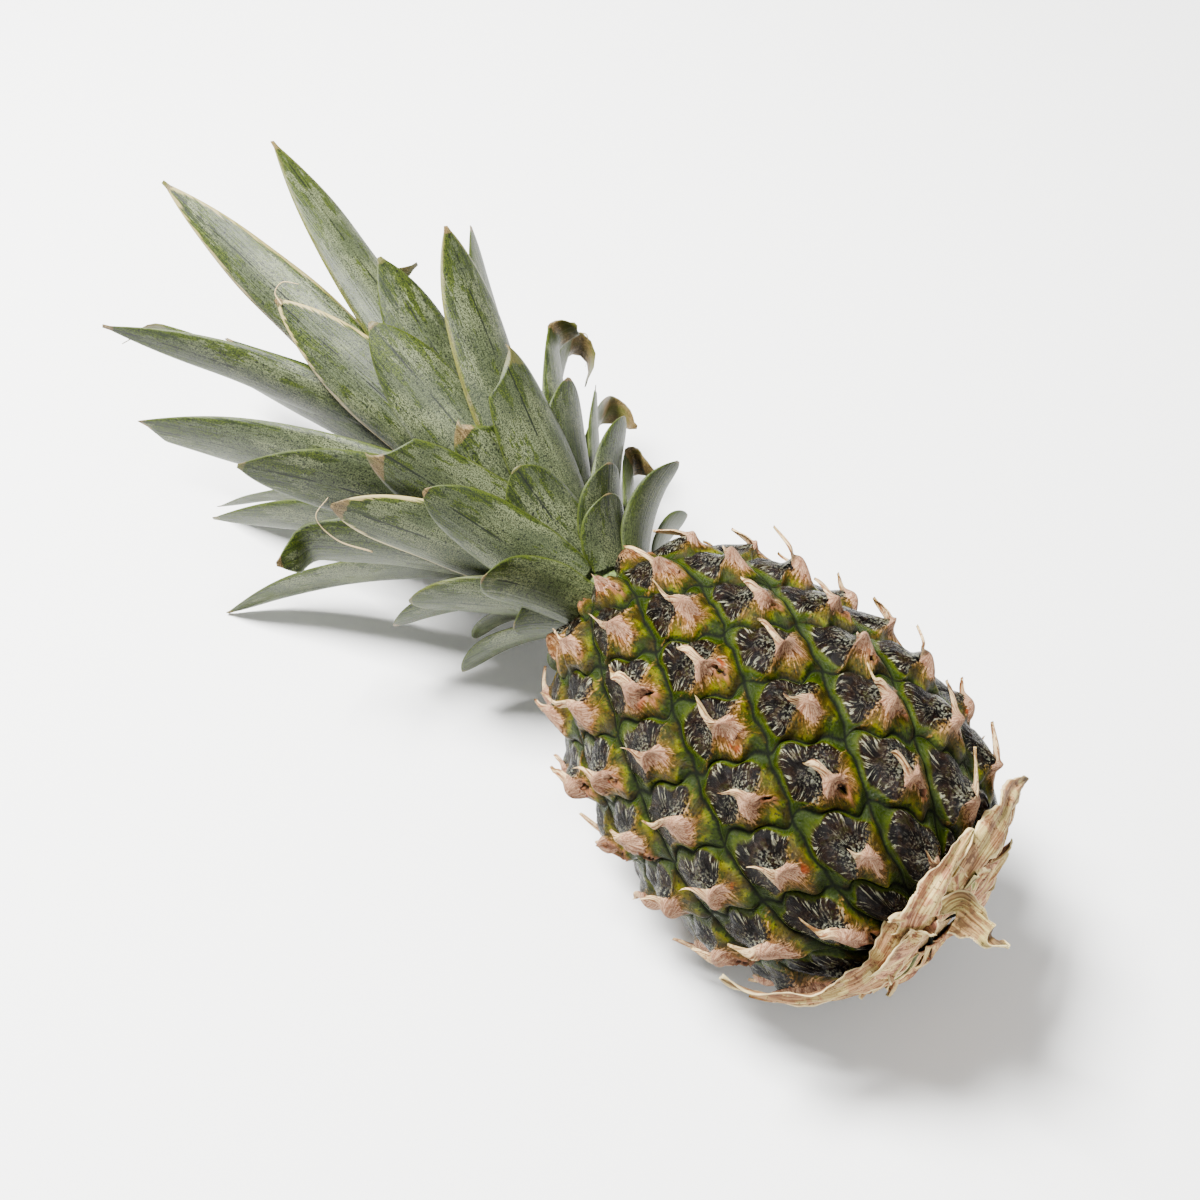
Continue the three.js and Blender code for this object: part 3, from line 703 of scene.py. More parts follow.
def leaf_material():
    # Thick fibrous leaf under a dusting of wax: a broad dull shine, greyish where the wax is whole.
    material, tree, shader = new_material("waxy_crown_leaf", IOR=1.45, Specular_IOR_Level=0.35)
    place = node(tree, "Attribute", output="Vector", attribute_name="leaf_place")
    luck = node(tree, "Attribute", output="Vector", attribute_name="leaf_luck")
    marks = node(tree, "Attribute", output="Vector", attribute_name="leaf_marks")
    margins = node(tree, "Attribute", output="Vector", attribute_name="leaf_rim")
    wide = node(tree, "SeparateXYZ", {0: place})
    outer = wide.node.outputs[2]
    share, dry, yellowing = node(tree, "SeparateXYZ", {0: marks}).node.outputs
    margin, cream = node(tree, "SeparateXYZ", {0: margins}).node.outputs[:2]
    # Places on the leaf in millimetres, moved by the leaf's own luck so that no two leaves match.
    apart = (1.0, 1.0, LEAF_DEPTH)
    flat = node(tree, "VectorMath", {0: place, 1: apart, 2: luck}, operation="MULTIPLY_ADD")

    def pattern(across, along, **settings):
        """Noise with so many cells to a millimetre across the leaf and along it."""
        drawn = node(tree, "VectorMath", {0: flat, 1: (across, along, 1.0)}, operation="MULTIPLY")
        return node(tree, "TexNoise", {"Vector": drawn, "Scale": 1.0, **settings})

    lines = pattern(1.3, 0.03, Detail=3.0)  # veins 0.8 mm apart
    rubs = pattern(0.3, 0.07, Detail=6.0, Roughness=0.72)  # patches 3 mm wide and 14 mm long
    # Real scales of wax are finer than these grains of 0.4 by 0.5 mm, and wouldn't show.
    grain = pattern(2.6, 1.9, Detail=3.0, Roughness=0.75)
    specks = pattern(1.3, 0.9, Detail=2.0)  # dark specks of 1 mm
    scratches = pattern(1.8, 0.2, Detail=3.0, Distortion=0.6)  # 0.6 mm wide and 5 mm long
    clouds = pattern(0.09, 0.045, Detail=3.0)  # 11 mm wide and 22 mm long
    bands = pattern(0.08, 1.1, Detail=3.0, Distortion=0.5)  # cross bands 0.9 mm apart
    # Outer face: wax in fine grains over green. It rubs off first at the tip and along the margins.
    wax = painted(tree, "#414b33", [
        ([(grain, 0.38, 0.6)], 1.0, "#9da285"),
        ([(lines, 0.45, 0.66)], 0.3, "#a3aa92"),
        ([(clouds, 0.4, 0.6)], 0.45, "#4f5b3c"),
    ])
    green = painted(tree, "#43540a", [
        ([(grain, 0.4, 0.6)], 1.0, "#7a851c"),
        ([(lines, 0.48, 0.4)], 0.6, "#3a4a0a"),
    ])
    near_tip = node(tree, "Math", {0: share, 1: 3.0}, operation="POWER")
    near_rim = node(tree, "MapRange", {0: margin, 1: 4.0, 2: 0.0, 4: 0.12}, **SMOOTH)
    worn = node(tree, "Math", {0: near_tip, 1: 0.19, 2: rubs}, operation="MULTIPLY_ADD")
    worn = node(tree, "Math", {0: worn, 1: near_rim}, operation="ADD")
    from_middle = node(tree, "Math", {0: wide}, operation="ABSOLUTE")
    face = painted(tree, wax, [
        ([(worn, 0.61, 0.63)], 0.9, green),
        ([(scratches, 0.64, 0.69)], 0.6, "#3a4a12"),
        ([(specks, 0.6, 0.67)], 0.7, "#1c260f"),
        # The fold along the middle shows as a dark line in the leaf's outer half.
        ([(from_middle, 0.5, 0.1), (share, 0.35, 0.6), (rubs, 0.45, 0.52)], 0.8, "#1d2a0c"),
    ])
    # Inner face: greener, with fine cross bands and lengthwise lines.
    inner = painted(tree, "#3d550e", [
        ([(bands, 0.42, 0.58)], 1.0, "#5c7028"),
        ([(lines, 0.5, 0.66)], 0.6, "#2b420b"),
        ([(clouds, 0.5, 0.66)], 0.5, "#87966f"),
    ])
    # The margins: a thin frayed line on each, and a broader creamy one on some. A few leaves are yellow.
    grained = node(tree, "Math", {0: grain, 1: 0.5}, operation="SUBTRACT")
    frayed = node(tree, "Math", {0: grained, 1: 0.8, 2: margin}, operation="MULTIPLY_ADD")
    lined = node(tree, "Math", {0: lines, 1: 0.5}, operation="SUBTRACT")
    stranded = node(tree, "Math", {0: lined, 1: 4.0, 2: margin}, operation="MULTIPLY_ADD")
    living = painted(tree, inner, [
        ([(outer,)], 1.0, face),
        ([(frayed, 0.7, 0.25)], 0.7, "#77803a"),
        ([(stranded, 1.7, 0.9), (cream,)], 0.85, "#d9cba6"),
        ([(yellowing,)], 0.8, "#66720a"),
    ])
    living = node(tree, "Gamma", {0: living, 1: 1.85})
    # Dried tips are brown husk.
    husk = painted(tree, "#33270f", [
        ([(lines, 0.3, 0.7)], 1.0, "#5d4c2c"),
        ([(grain, 0.46, 0.68)], 1.0, "#87724a"),
        ([(clouds, 0.45, 0.6)], 0.7, "#3b4512"),
    ])
    rubbed = node(tree, "Math", {0: rubs, 1: 0.5}, operation="SUBTRACT")
    drying = node(tree, "Math", {0: rubbed, 1: 1.4, 2: dry}, operation="MULTIPLY_ADD")
    colour = painted(tree, living, [([(drying, 0.42, 0.58)], 1.0, husk)])
    rough = node(tree, "MapRange", {0: grain, 1: 0.3, 2: 0.7, 3: 0.4, 4: 0.6}, **SMOOTH)
    ribs = node(tree, "Bump", {"Strength": 0.45, "Distance": 0.6 * MM, "Height": lines})
    grains = node(tree, "Bump", {"Strength": 0.4, "Distance": 0.3 * MM, "Height": grain, "Normal": ribs})
    link_shader(tree, shader, {"Base Color": colour, "Roughness": rough, "Normal": grains})
    return material


crown_leaf = leaf_material()
print("material:", crown_leaf.name)

# %% Leaf shapes
STEM = {"start": 97.0, "length": 50.0, "radius": 18.0, "tip_radius": 2.5, "power": 0.8}
LEAVES = 52
LEAF_FIRST_ANGLE = 104.8
LENGTHS = [34, 42, 55, 72, 103, 133, 158, 205, 238]
WIDTHS = [24, 28, 32, 36, 38, 27]
TIP_SPLAYS = [82, 62, 47, 44, 34, 2]
BASE_SPLAYS = [41, 33, 8]
LEAF_SEAT, LEAF_HUG, CHANNEL = 0.7, 3.0, 0.8
SHORT_LEAF, LONG_LEAF = 60, 180
TAPER, BROAD_TIP, SLENDER_TIP = 4.4, 0.7, 1.0
BEND_STEP = 0.5  # degrees that a leaf is bent up at a time, until it is clear of the surface
LEAF_WAVE = 9.0  # millimetres along the margin to a radian of its waves
LEAF_ROWS, LEAF_COLUMNS = 60, 15
# One side of the crown grew in the shade of the other. Its leaves are shorter and stay closer to the axis.
SHADE = {"from": 50, "shorter": 0.12, "closer": 10}
# How single leaves differ: (degrees round the stem, millimetres longer, degrees wider at the tip).
GROWN = {
    0: (-10, 10, 0), 1: (-20, 10, 0), 3: (0, 10, 20), 4: (0, -20, -10), 6: (20, -10, 0),
    7: (0, 10, -10), 8: (0, 20, -20), 9: (10, 20, -20), 11: (0, -10, 10), 12: (10, 0, -20),
    14: (10, -10, -10), 16: (0, 0, 10), 17: (10, 20, -10), 19: (0, 20, 0), 20: (0, -10, 0),
    21: (0, 20, 0), 24: (0, -20, 10), 25: (10, 0, 0), 26: (-10, 30, 20), 27: (0, -40, 0),
    28: (20, 30, 10), 30: (0, -10, 10), 32: (5, 10, 0), 33: (10, -10, -10), 34: (0, 10, 20),
    35: (20, -30, -10), 37: (10, 10, 0), 38: (0, 5, -5), 40: (10, -30, 0), 41: (0, -20, 0),
    42: (0, -60, 0), 43: (20, -50, -10), 45: (-10, 20, 0), 46: (10, -20, -10), 47: (0, -20, 0),
    48: (-10, 0, 0), 49: (0, -40, 0), 50: (10, 0, 10), 51: (0, -60, 30),
}


def stem_radius(share):
    return STEM["tip_radius"] + (STEM["radius"] - STEM["tip_radius"]) * (1 - share) ** STEM["power"]


def smooth_through(knots, count):
    """Points at even steps on a smooth curve through evenly spaced knots (Catmull-Rom)."""
    padded = np.concatenate([[2 * knots[0] - knots[1]], knots, [2 * knots[-1] - knots[-2]]])
    place = np.linspace(0, len(knots) - 1, count)
    low = np.minimum(place.astype(int), len(knots) - 2)
    t = (place - low)[:, None]
    a, b, c, d = (padded[low + step] for step in range(4))
    return 0.5 * (2 * b + (c - a) * t + (2 * a - 5 * b + 4 * c - d) * t**2 + (3 * b - a - 3 * c + d) * t**3)


class Leaf:
    """One crown leaf's sizes and midline. Leaf 0 is the outermost."""

    def __init__(self, leaf):
        share = leaf / (LEAVES - 1)
        turned, longer, wider = GROWN.get(leaf, (0, 0, 0))
        self.width = at(WIDTHS, share)
        self.angle = np.radians(LEAF_FIRST_ANGLE - leaf * DIVERGENCE + turned)
        shaded = np.cos(self.angle - np.radians(SHADE["from"]))
        self.length = at(LENGTHS, share) * (1 - SHADE["shorter"] * shaded) + longer
        self.base_splay = np.radians(at(BASE_SPLAYS, share))
        self.tip_splay = np.radians(at(TIP_SPLAYS, share) - SHADE["closer"] * shaded + wider)
        slender = np.clip((self.length - SHORT_LEAF) / (LONG_LEAF - SHORT_LEAF), 0, 1)
        self.tip_power = lerp(BROAD_TIP, SLENDER_TIP, slender)
        self.hug = stem_radius(share) + LEAF_HUG
        foot_along = STEM["start"] + LEAF_SEAT + share * STEM["length"]
        self.foot = axis_point(foot_along, stem_radius(share) + LEAF_SEAT, self.angle)
        self.steps = 4 if self.length < SHORT_LEAF else 6
        self.side = np.cross(ALONG, outward(self.angle))
        while self.rows(self.steps + 1, 4)[0][..., 2].min() < 0:
            self.tip_splay -= np.radians(BEND_STEP)

    def splay(self, t):
        return lerp(self.base_splay, self.tip_splay, t**1.2)[..., None]

    def midline(self, count):
        """Evenly spaced points on the midline."""
        t = np.linspace(0, 1, self.steps + 1)[1:]
        ahead = ALONG * np.cos(self.splay(t)) + outward(self.angle) * np.sin(self.splay(t))
        walked = self.foot + np.cumsum(ahead, axis=0) * self.length / self.steps
        knots = np.concatenate([[self.foot], walked])
        return knots if count == self.steps + 1 else smooth_through(knots, count)

    def half_width(self, t):
        full = lerp(0.82, 1, smoothstep(0, 0.35, t))
        return np.maximum(1.6, self.width * full * (1 - t**TAPER) ** self.tip_power) / 2

    def rows(self, count, columns, wave=0.0, luck=0.0):
        """Points on the inner face and the outward directions there, as (rows, columns, 3) arrays."""
        t = np.linspace(0, 1, count)
        middle = self.midline(count)
        out = outward(self.angle) * np.cos(self.splay(t)) - ALONG * np.sin(self.splay(t))
        freed = 1 - (1 - t) ** 2
        bend = 1 / lerp(1 / self.hug, 1 / (CHANNEL * self.width), freed)
        across = np.linspace(-1, 1, columns)
        turn = (across[None, :] * (self.half_width(t) / bend)[:, None])[..., None]
        normal = out[:, None] * np.cos(turn) + self.side * np.sin(turn)
        point = middle[:, None] - out[:, None] * bend[:, None, None] + normal * bend[:, None, None]
        if wave:
            ripple = np.sin(t[:, None] * self.length / LEAF_WAVE + luck)
            ripple = ripple * (across**2 * np.sign(across))[None, :] * np.sin(np.pi * t)[:, None]
            point = point + normal * (wave * ripple)[..., None]
        return point, normal


print("longest leaf:", round(float(max(Leaf(number).length for number in range(LEAVES)))), "mm")

# %% Build the leaves
FINE_ROWS = 160
FOLD_LENGTH = 0.12  # share of the leaf over which a tip folds
RIPPLE = 0.5  # millimetres that the margins wave
# Share of the length that has dried, at the tip.
DRY_TIPS = {
    8: 0.22, 16: 0.03, 17: 0.06, 19: 0.12, 21: 0.12, 22: 0.16, 26: 0.22, 27: 0.14, 29: 0.1, 34: 0.14,
    46: 0.1, 47: 0.2, 50: 0.1,
}
YELLOW_LEAVES = {0: 1.0, 3: 0.35, 8: 0.3, 1: 0.15}
CREAM_MARGINS = {43: 0.9, 48: 0.7, 45: 0.2, 32: 0.3, 17: 0.8, 12: 0.1}
# Leaves that were cut across: (share of the length left in the middle, how far the cut slants).
CUT_TIPS = {19: (0.88, 0.09), 22: (0.9, -0.07), 27: (0.88, -0.1), 38: (0.93, 0.03), 21: (0.93, 0.07)}
# Tips that have folded over: (share of the length at the fold, degrees outward, degrees of slant).
FOLDED_TIPS = {
    29: (0.87, 115, 35), 34: (0.88, 135, -20), 26: (0.87, 110, 10), 46: (0.9, 70, 60), 8: (0.8, 130, 15),
    25: (0.8, 60, -40), 47: (0.85, 80, 30),
}


def turned_about(points, middle, axis, angle):
    """Points turned about an axis through a point. The angle may differ from point to point."""
    arm = points - middle
    cos, sin = np.cos(angle)[..., None], np.sin(angle)[..., None]
    along = np.sum(arm * axis, axis=-1, keepdims=True) * axis
    return middle + along + (arm - along) * cos + np.cross(axis, arm) * sin


def leaf_surface(number):
    """Inner points, outward directions, share of the length and width position for the visible leaf."""
    leaf = Leaf(number)
    luck = EYE_CHANCES[number, :3] * LEAF_SHIFT
    point, normal = leaf.rows(FINE_ROWS, LEAF_COLUMNS, RIPPLE, luck[0])
    t = np.linspace(0, 1, FINE_ROWS)
    if number in FOLDED_TIPS:
        fold, bend, slant = FOLDED_TIPS[number]
        row = int(fold * (FINE_ROWS - 1))
        ahead = leaf.midline(FINE_ROWS)[row] - leaf.midline(FINE_ROWS)[row - 1]
        ahead /= np.linalg.norm(ahead)
        axis = -leaf.side * np.cos(np.radians(slant)) + ahead * np.sin(np.radians(slant))
        turned = smoothstep(fold, min(fold + FOLD_LENGTH, 1), t)
        angle = -np.radians(bend) * turned[:, None] * np.ones(LEAF_COLUMNS)
        middle = point[row, LEAF_COLUMNS // 2]
        point = turned_about(point, middle, axis, angle)
        normal = turned_about(normal + middle, middle, axis, angle) - middle
    across = np.linspace(-1, 1, LEAF_COLUMNS)
    end, slant = CUT_TIPS.get(number, (1.0, 0.0))
    reach = end + slant * across * (end < 1)
    share = np.linspace(0, 1, LEAF_ROWS)[:, None] * reach

    def picked(grid):
        """The grid's rows at the leaf's shares, column by column."""
        columns = range(LEAF_COLUMNS)
        found = np.stack([[np.interp(share[:, c], t, grid[:, c, k]) for k in range(3)] for c in columns])
        return found.transpose(2, 0, 1)

    return leaf, luck, picked(point), picked(normal), share, reach


def build_leaf(number):
    leaf, luck, point, normal, t, reach = leaf_surface(number)
    across = np.linspace(-1, 1, LEAF_COLUMNS)[None, :]
    thick = lerp(1.5, 0.35, np.maximum(t**1.5, across**2))[..., None]
    rings = np.concatenate([point + normal * thick, point[:, ::-1]], axis=1)[None]
    half = leaf.half_width(t)
    wide, length = across * half, t * leaf.length
    one = np.ones_like(wide)
    margin = np.minimum((1 - np.abs(across)) * half, (reach - t) * leaf.length + 0.3)
    dried_tip = DRY_TIPS.get(number, 0.02)
    dry = smoothstep(1 - 1.6 * dried_tip, 1 - 0.5 * dried_tip, t / reach)
    if number in CUT_TIPS:
        corner = t / reach + dried_tip * (across * np.sign(CUT_TIPS[number][1]) - 1)
        dry = smoothstep(1 - 1.2 * dried_tip, 1 - 0.7 * dried_tip, corner)
    layers = {
        "leaf_place": [wide, length, one],
        "leaf_marks": [t, dry, YELLOW_LEAVES.get(number, 0.0) * one],
        "leaf_rim": [margin, CREAM_MARGINS.get(number, 0.0) * one, 0 * one],
    }
    values = {}
    for key, parts in layers.items():
        outer = np.stack(np.broadcast_arrays(*parts), axis=-1)
        inner = outer * (1, 1, 0) if key == "leaf_place" else outer
        values[key] = np.concatenate([outer, inner[:, ::-1]], axis=1)[None]
    values["leaf_luck"] = np.broadcast_to(luck, rings.shape)
    name = f"leaf_{number + 1:02d}"
    return make_sheets(name, rings, crown_leaf, values, [f"crown_leaf_{number + 1:02d}"])


leaves = [build_leaf(number) for number in range(LEAVES)]
print("leaf faces:", sum(len(leaf.data.polygons) for leaf in leaves))

# %% [markdown]
# ## Crown stem and cut stalk
# The leaves stand on a short tapering stem, pale green where it shows between them. At the other end
# the fruit was cut from its stalk, and the cut has dried to a tan face full of fibres. Both are simple
# profiles turned round the axis and made a little uneven, because the leaves and bracts hide most of
# them.

# %% Build the stem and the stalk
TURNED_SIDES = 48
STEM_FIBRE, STALK_FIBRE = MM / 0.7, MM / 1.6  # 1.4 mm and 0.6 mm


def flesh_material(name, pale, dark, fibre):
    """Dull plant flesh, with fibres of a size in metres that show as small dark dots or dashes."""
    material, tree, shader = new_material(name, Roughness=0.7, IOR=1.4)
    where = node(tree, "TexCoord", output="Object")
    dots = node(tree, "TexNoise", {"Vector": where, "Scale": 1 / fibre, "Detail": 5.0, "Roughness": 0.7})
    colour = painted(tree, dark, [([(dots, 0.42, 0.6)], 1.0, pale)])
    bump = node(tree, "Bump", {"Strength": 0.5, "Distance": 0.6 * MM, "Height": dots})
    link_shader(tree, shader, {"Base Color": colour, "Normal": bump})
    return material


def build_turned(name, pairs, material):
    """A body turned round the axis, from (along, away) pairs that run towards the crown."""
    along, away = np.array(pairs, float).T
    angle = np.linspace(0, 2 * np.pi, TURNED_SIDES, endpoint=False)
    uneven = 1 + 0.02 * np.sin(5 * angle + 1) + 0.015 * np.sin(11 * angle)
    rings = axis_point(along[:, None] + 0 * angle, away[:, None] * uneven, angle + 0 * along[:, None])
    return make_sheets(name, rings[None], material, {})


stem_flesh = flesh_material("green_stem_flesh", "#56662a", "#2f3c10", STEM_FIBRE)
cut_flesh = flesh_material("dried_stalk_flesh", "#b79c6c", "#6e4f2c", STALK_FIBRE)
stem_shares = np.linspace(0, 1, 12)
stem_pairs = [(STEM["start"] - 15, STEM["radius"])]
stem_pairs += [(STEM["start"] + share * STEM["length"], stem_radius(share)) for share in stem_shares]
crown_stem = build_turned("crown_stem", stem_pairs, stem_flesh)
stalk_pairs = [(-68.2, 1), (-68.4, 4), (-68.1, 8), (-68.5, 10.8), (-68.0, 12), (-62, 12), (-56, 12)]
cut_stalk = build_turned("cut_stalk", stalk_pairs, cut_flesh)
print("stem and stalk faces:", len(crown_stem.data.polygons), len(cut_stalk.data.polygons))

# %% [markdown]
# ## Bracts round the stalk
# The last bracts below the fruit have dried to straw: cream outside, pinkish brown inside, with frayed
# light edges. Each long one follows a route of a few points round the base, and a curve through those
# points carries the strip. Shorter scraps fill the ring between them.

# %% The straw material
STRAW_LINES = (1.5, 0.05, 1.0)  # cells of noise to a millimetre: fibres 0.7 mm wide and 20 mm long
BLOTCH, SPECK = 0.16, 1.1  # cells of noise to a millimetre: blotches of 6 mm and specks of 0.9 mm


def straw_material():
    # Dead bract, like straw or thin paper: matt, with lengthwise fibres, brown blotches and pale edges.
    material, tree, shader = new_material("dry_straw_bract", Roughness=0.75, IOR=1.4)
    place = node(tree, "Attribute", output="Vector", attribute_name="strip_place")
    luck = node(tree, "Attribute", output="Vector", attribute_name="strip_luck")
    marks = node(tree, "Attribute", output="Vector", attribute_name="strip_marks")
    edge, outside, fresh = node(tree, "SeparateXYZ", {0: marks}).node.outputs
    tip = node(tree, "SeparateXYZ", {0: place}, output=2)
    flat = node(tree, "VectorMath", {0: place, 1: luck}, operation="ADD")
    lines = node(tree, "VectorMath", {0: flat, 1: STRAW_LINES}, operation="MULTIPLY")
    stria = node(tree, "TexNoise", {"Vector": lines, "Scale": 1.0, "Detail": 4.0, "Roughness": 0.7})
    blotch = node(tree, "TexNoise", {"Vector": flat, "Scale": BLOTCH, "Detail": 6.0, "Roughness": 0.65})
    specks = node(tree, "TexNoise", {"Vector": flat, "Scale": SPECK, "Detail": 3.0})
    pinkish = painted(tree, "#8f6247", [([(stria, 0.4, 0.6)], 1.0, "#c9a080")])
    cream = painted(tree, "#a8895a", [
        ([(stria, 0.36, 0.6)], 1.0, "#dccb98"),
        ([(blotch, 0.44, 0.52)], 0.85, pinkish),
        ([(blotch, 0.58, 0.64)], 0.85, "#7a4c33"),
    ])
    brown = painted(tree, "#6b4230", [([(stria, 0.36, 0.62)], 1.0, "#b08a68")])
    olive = painted(tree, "#3c4a14", [([(stria, 0.4, 0.6)], 1.0, "#75803a")])
    green_tip = node(tree, "MapRange", {0: tip, 1: 0.8, 2: 1.1, 4: 0.5}, **SMOOTH)
    greening = node(tree, "Math", {0: fresh, 1: green_tip}, operation="ADD")
    straw = painted(tree, brown, [
        ([(outside,)], 1.0, cream),
        ([(specks, 0.6, 0.68)], 0.7, "#4d3019"),
        ([(greening,)], 1.0, olive),
        ([(edge, 0.6, 0.2)], 0.7, "#e3d5ac"),
    ])
    straw = node(tree, "Gamma", {0: straw, 1: 1.45})
    bump = node(tree, "Bump", {"Strength": 0.5, "Distance": 0.5 * MM, "Height": stria})
    link_shader(tree, shader, {"Base Color": straw, "Normal": bump})
    return material


straw = straw_material()
print("material:", straw.name)

# %% Build the strips
STRIP_ROWS, STRIP_COLUMNS = 90, 17
STRIP_CURL, STRIP_TAPER, STRIP_THICKNESS = 0.12, 2.2, 0.7
PLEAT, FINE_PLEAT, EDGE_LIFT = 0.8, 0.12, 1.3  # heights in millimetres
HEART = -30.0  # the place on the axis that every strip turns its inner face to
STRIP_SHIFT = 30.0  # the farthest that a strip's patterns are moved, in millimetres
STRIP_CHANCES, SCRAP_CHANCES = 100, 120  # their first rows of chances
FRESH_STRIPS = {"standing": 0.35, "hooked": 0.2, "long": 0.15}
STRIPS = {
    "long": {"width": 15, "tip": 1.6, "route": [
        (-66.5, 26, 318), (-68.5, 27.5, 290), (-67, 34, 270), (-62.5, 43, 263),
        (-56.5, 52, 262), (-50, 59, 264), (-43, 65, 268), (-37, 69, 271)]},
    "wrapping": {"width": 13, "tip": 1.6, "route": [
        (-68.5, 24, 314), (-68, 32, 330), (-66.5, 37, 346), (-63.5, 40, 2), (-60.5, 42.5, 18)]},
    "standing": {"width": 15, "tip": 1.6, "route": [
        (-69.5, 17, 346), (-73, 21.5, 355), (-79, 21, 358), (-86, 21.5, 359), (-93, 25, 360)]},
    "broad": {"width": 26, "tip": 18, "route": [
        (-70, 13.5, 296), (-71.3, 20, 296), (-71.3, 27, 296), (-70, 34, 296)]},
    "hooked": {"width": 14, "tip": 1.6, "route": [
        (-68.5, 26, 4), (-67.5, 34, 14), (-65, 39, 28), (-61.5, 43, 42),
        (-57, 48, 54), (-54, 54, 66), (-53, 59, 74)]},
    "far": {"width": 16, "tip": 2, "route": [
        (-70, 15, 122), (-69.5, 27, 119), (-65, 38, 114), (-57, 46.5, 108)]},
    "under": {"width": 17, "tip": 2, "route": [
        (-70, 15, 190), (-69.5, 27, 192), (-65, 37, 196), (-58, 45, 200)]},
}
FINE_CURVE = 60  # points to a stretch of a route


def along_route(points, count):
    """Evenly spaced points and directions on a centripetal Catmull-Rom curve through the points."""
    padded = np.concatenate([[2 * points[0] - points[1]], points, [2 * points[-1] - points[-2]]])
    fine = []
    for a, b, c, d in zip(padded, padded[1:], padded[2:], padded[3:]):
        knots = np.cumsum([0, *(np.linalg.norm(step) ** 0.5 for step in (b - a, c - b, d - c))])
        t = np.linspace(knots[1], knots[2], FINE_CURVE, endpoint=False)[:, None]
        ab, bc, cd = (
            (first * (knots[i + 1] - t) + second * (t - knots[i])) / (knots[i + 1] - knots[i])
            for i, (first, second) in enumerate(((a, b), (b, c), (c, d)))
        )
        abc = (ab * (knots[2] - t) + bc * (t - knots[0])) / (knots[2] - knots[0])
        bcd = (bc * (knots[3] - t) + cd * (t - knots[1])) / (knots[3] - knots[1])
        fine.append((abc * (knots[2] - t) + bcd * (t - knots[1])) / (knots[2] - knots[1]))
    fine = np.concatenate([*fine, points[-1:]])
    run = np.append(0, np.cumsum(np.linalg.norm(np.diff(fine, axis=0), axis=1)))
    place = np.linspace(0, run[-1], count)
    even = np.stack([np.interp(place, run, fine[:, k]) for k in range(3)], axis=-1)
    ahead = np.gradient(even, axis=0)
    return even, ahead / np.linalg.norm(ahead, axis=1, keepdims=True), run[-1]


def strip_sheet(route, width, tip, luck, fresh=0.0):
    """The closed rings of one ragged strip along a route of points, with each point's place and marks."""
    middle, ahead, length = along_route(route, STRIP_ROWS)
    out = middle - (CENTRE + ALONG * HEART)
    out -= ahead * np.sum(out * ahead, axis=1, keepdims=True)
    out /= np.linalg.norm(out, axis=1, keepdims=True)
    side = np.cross(ahead, out)
    t = np.linspace(0, 1, STRIP_ROWS)[:, None]
    across = np.linspace(-1, 1, STRIP_COLUMNS)[None, :]
    half = lerp(width, tip, t**STRIP_TAPER) / 2
    run = t * length
    leaning = np.sign(across) * luck[2]
    ragged = 1 + 0.08 * np.sin(0.5 * run + luck[0] + leaning)
    ragged = ragged + 0.05 * np.sin(1.3 * run + luck[1] + leaning)
    ragged = ragged - 0.07 * np.abs(np.sin(2.9 * run + leaning)) * np.sin(0.3 * run + luck[2]) ** 2
    wide = across * half * ragged
    pleat = PLEAT * np.sin(across * 5 + luck[2] + 2 * t) * np.sin(np.pi * t)
    pleat = pleat + FINE_PLEAT * np.sin(across * 13 + luck[0])
    lifted = EDGE_LIFT * np.abs(across) ** 3 * np.sin(0.25 * run + luck[1] + leaning)
    height = pleat + lifted - STRIP_CURL * half * across**2
    point = middle[:, None] + side[:, None] * wide[..., None] + out[:, None] * height[..., None]
    thick = out[:, None] * np.maximum(STRIP_THICKNESS * (1 - across**2 * 0.6), 0.3)[..., None]
    rings = np.concatenate([point + thick, point[:, ::-1]], axis=1)
    one = np.ones_like(wide)
    edge = np.minimum((1 - np.abs(across)) * half, (1 - t) * length)
    place = np.stack([wide, run * one, t * one], axis=-1)
    marks = np.stack([edge, one, fresh * one], axis=-1)
    places = np.concatenate([place, place[:, ::-1]], axis=1)
    all_marks = np.concatenate([marks, (marks * (1, 0, 1))[:, ::-1]], axis=1)
    return rings, places, all_marks, np.broadcast_to(luck, places.shape)


def make_strips(name, sheets, replaced=()):
    rings, places, marks, luck = (np.stack(part) for part in zip(*sheets))
    values = {"strip_place": places, "strip_marks": marks, "strip_luck": luck}
    return make_sheets(name, rings, straw, values, replaced)


def build_strip(number, name, strip):
    along, away, angle = np.array(strip["route"], float).T
    luck = EYE_CHANCES[STRIP_CHANCES + number, :3] * STRIP_SHIFT
    route = axis_point(along, away, np.radians(angle))
    sheet = strip_sheet(route, strip["width"], strip["tip"], luck, FRESH_STRIPS.get(name, 0.0))
    return make_strips(f"straw_{name}", [sheet], [f"stalk_bract_{name}"])


strips = [build_strip(number, name, strip) for number, (name, strip) in enumerate(STRIPS.items())]
print("strips:", len(strips))

# %% Scraps round the stalk
SCRAPS = 22
SCRAP_START, SCRAP_LIFT = 11.0, 2.0
GREEN_SCRAPS = 0.12  # the share of them that is still green


def base_along(away):
    """How far along the axis the smooth outline of the stalk end is, at a distance away from the axis."""
    return -STALK_END["reach"] * np.sqrt(1 - (away / FRUIT_RADIUS) ** (1 / STALK_END["power"]))


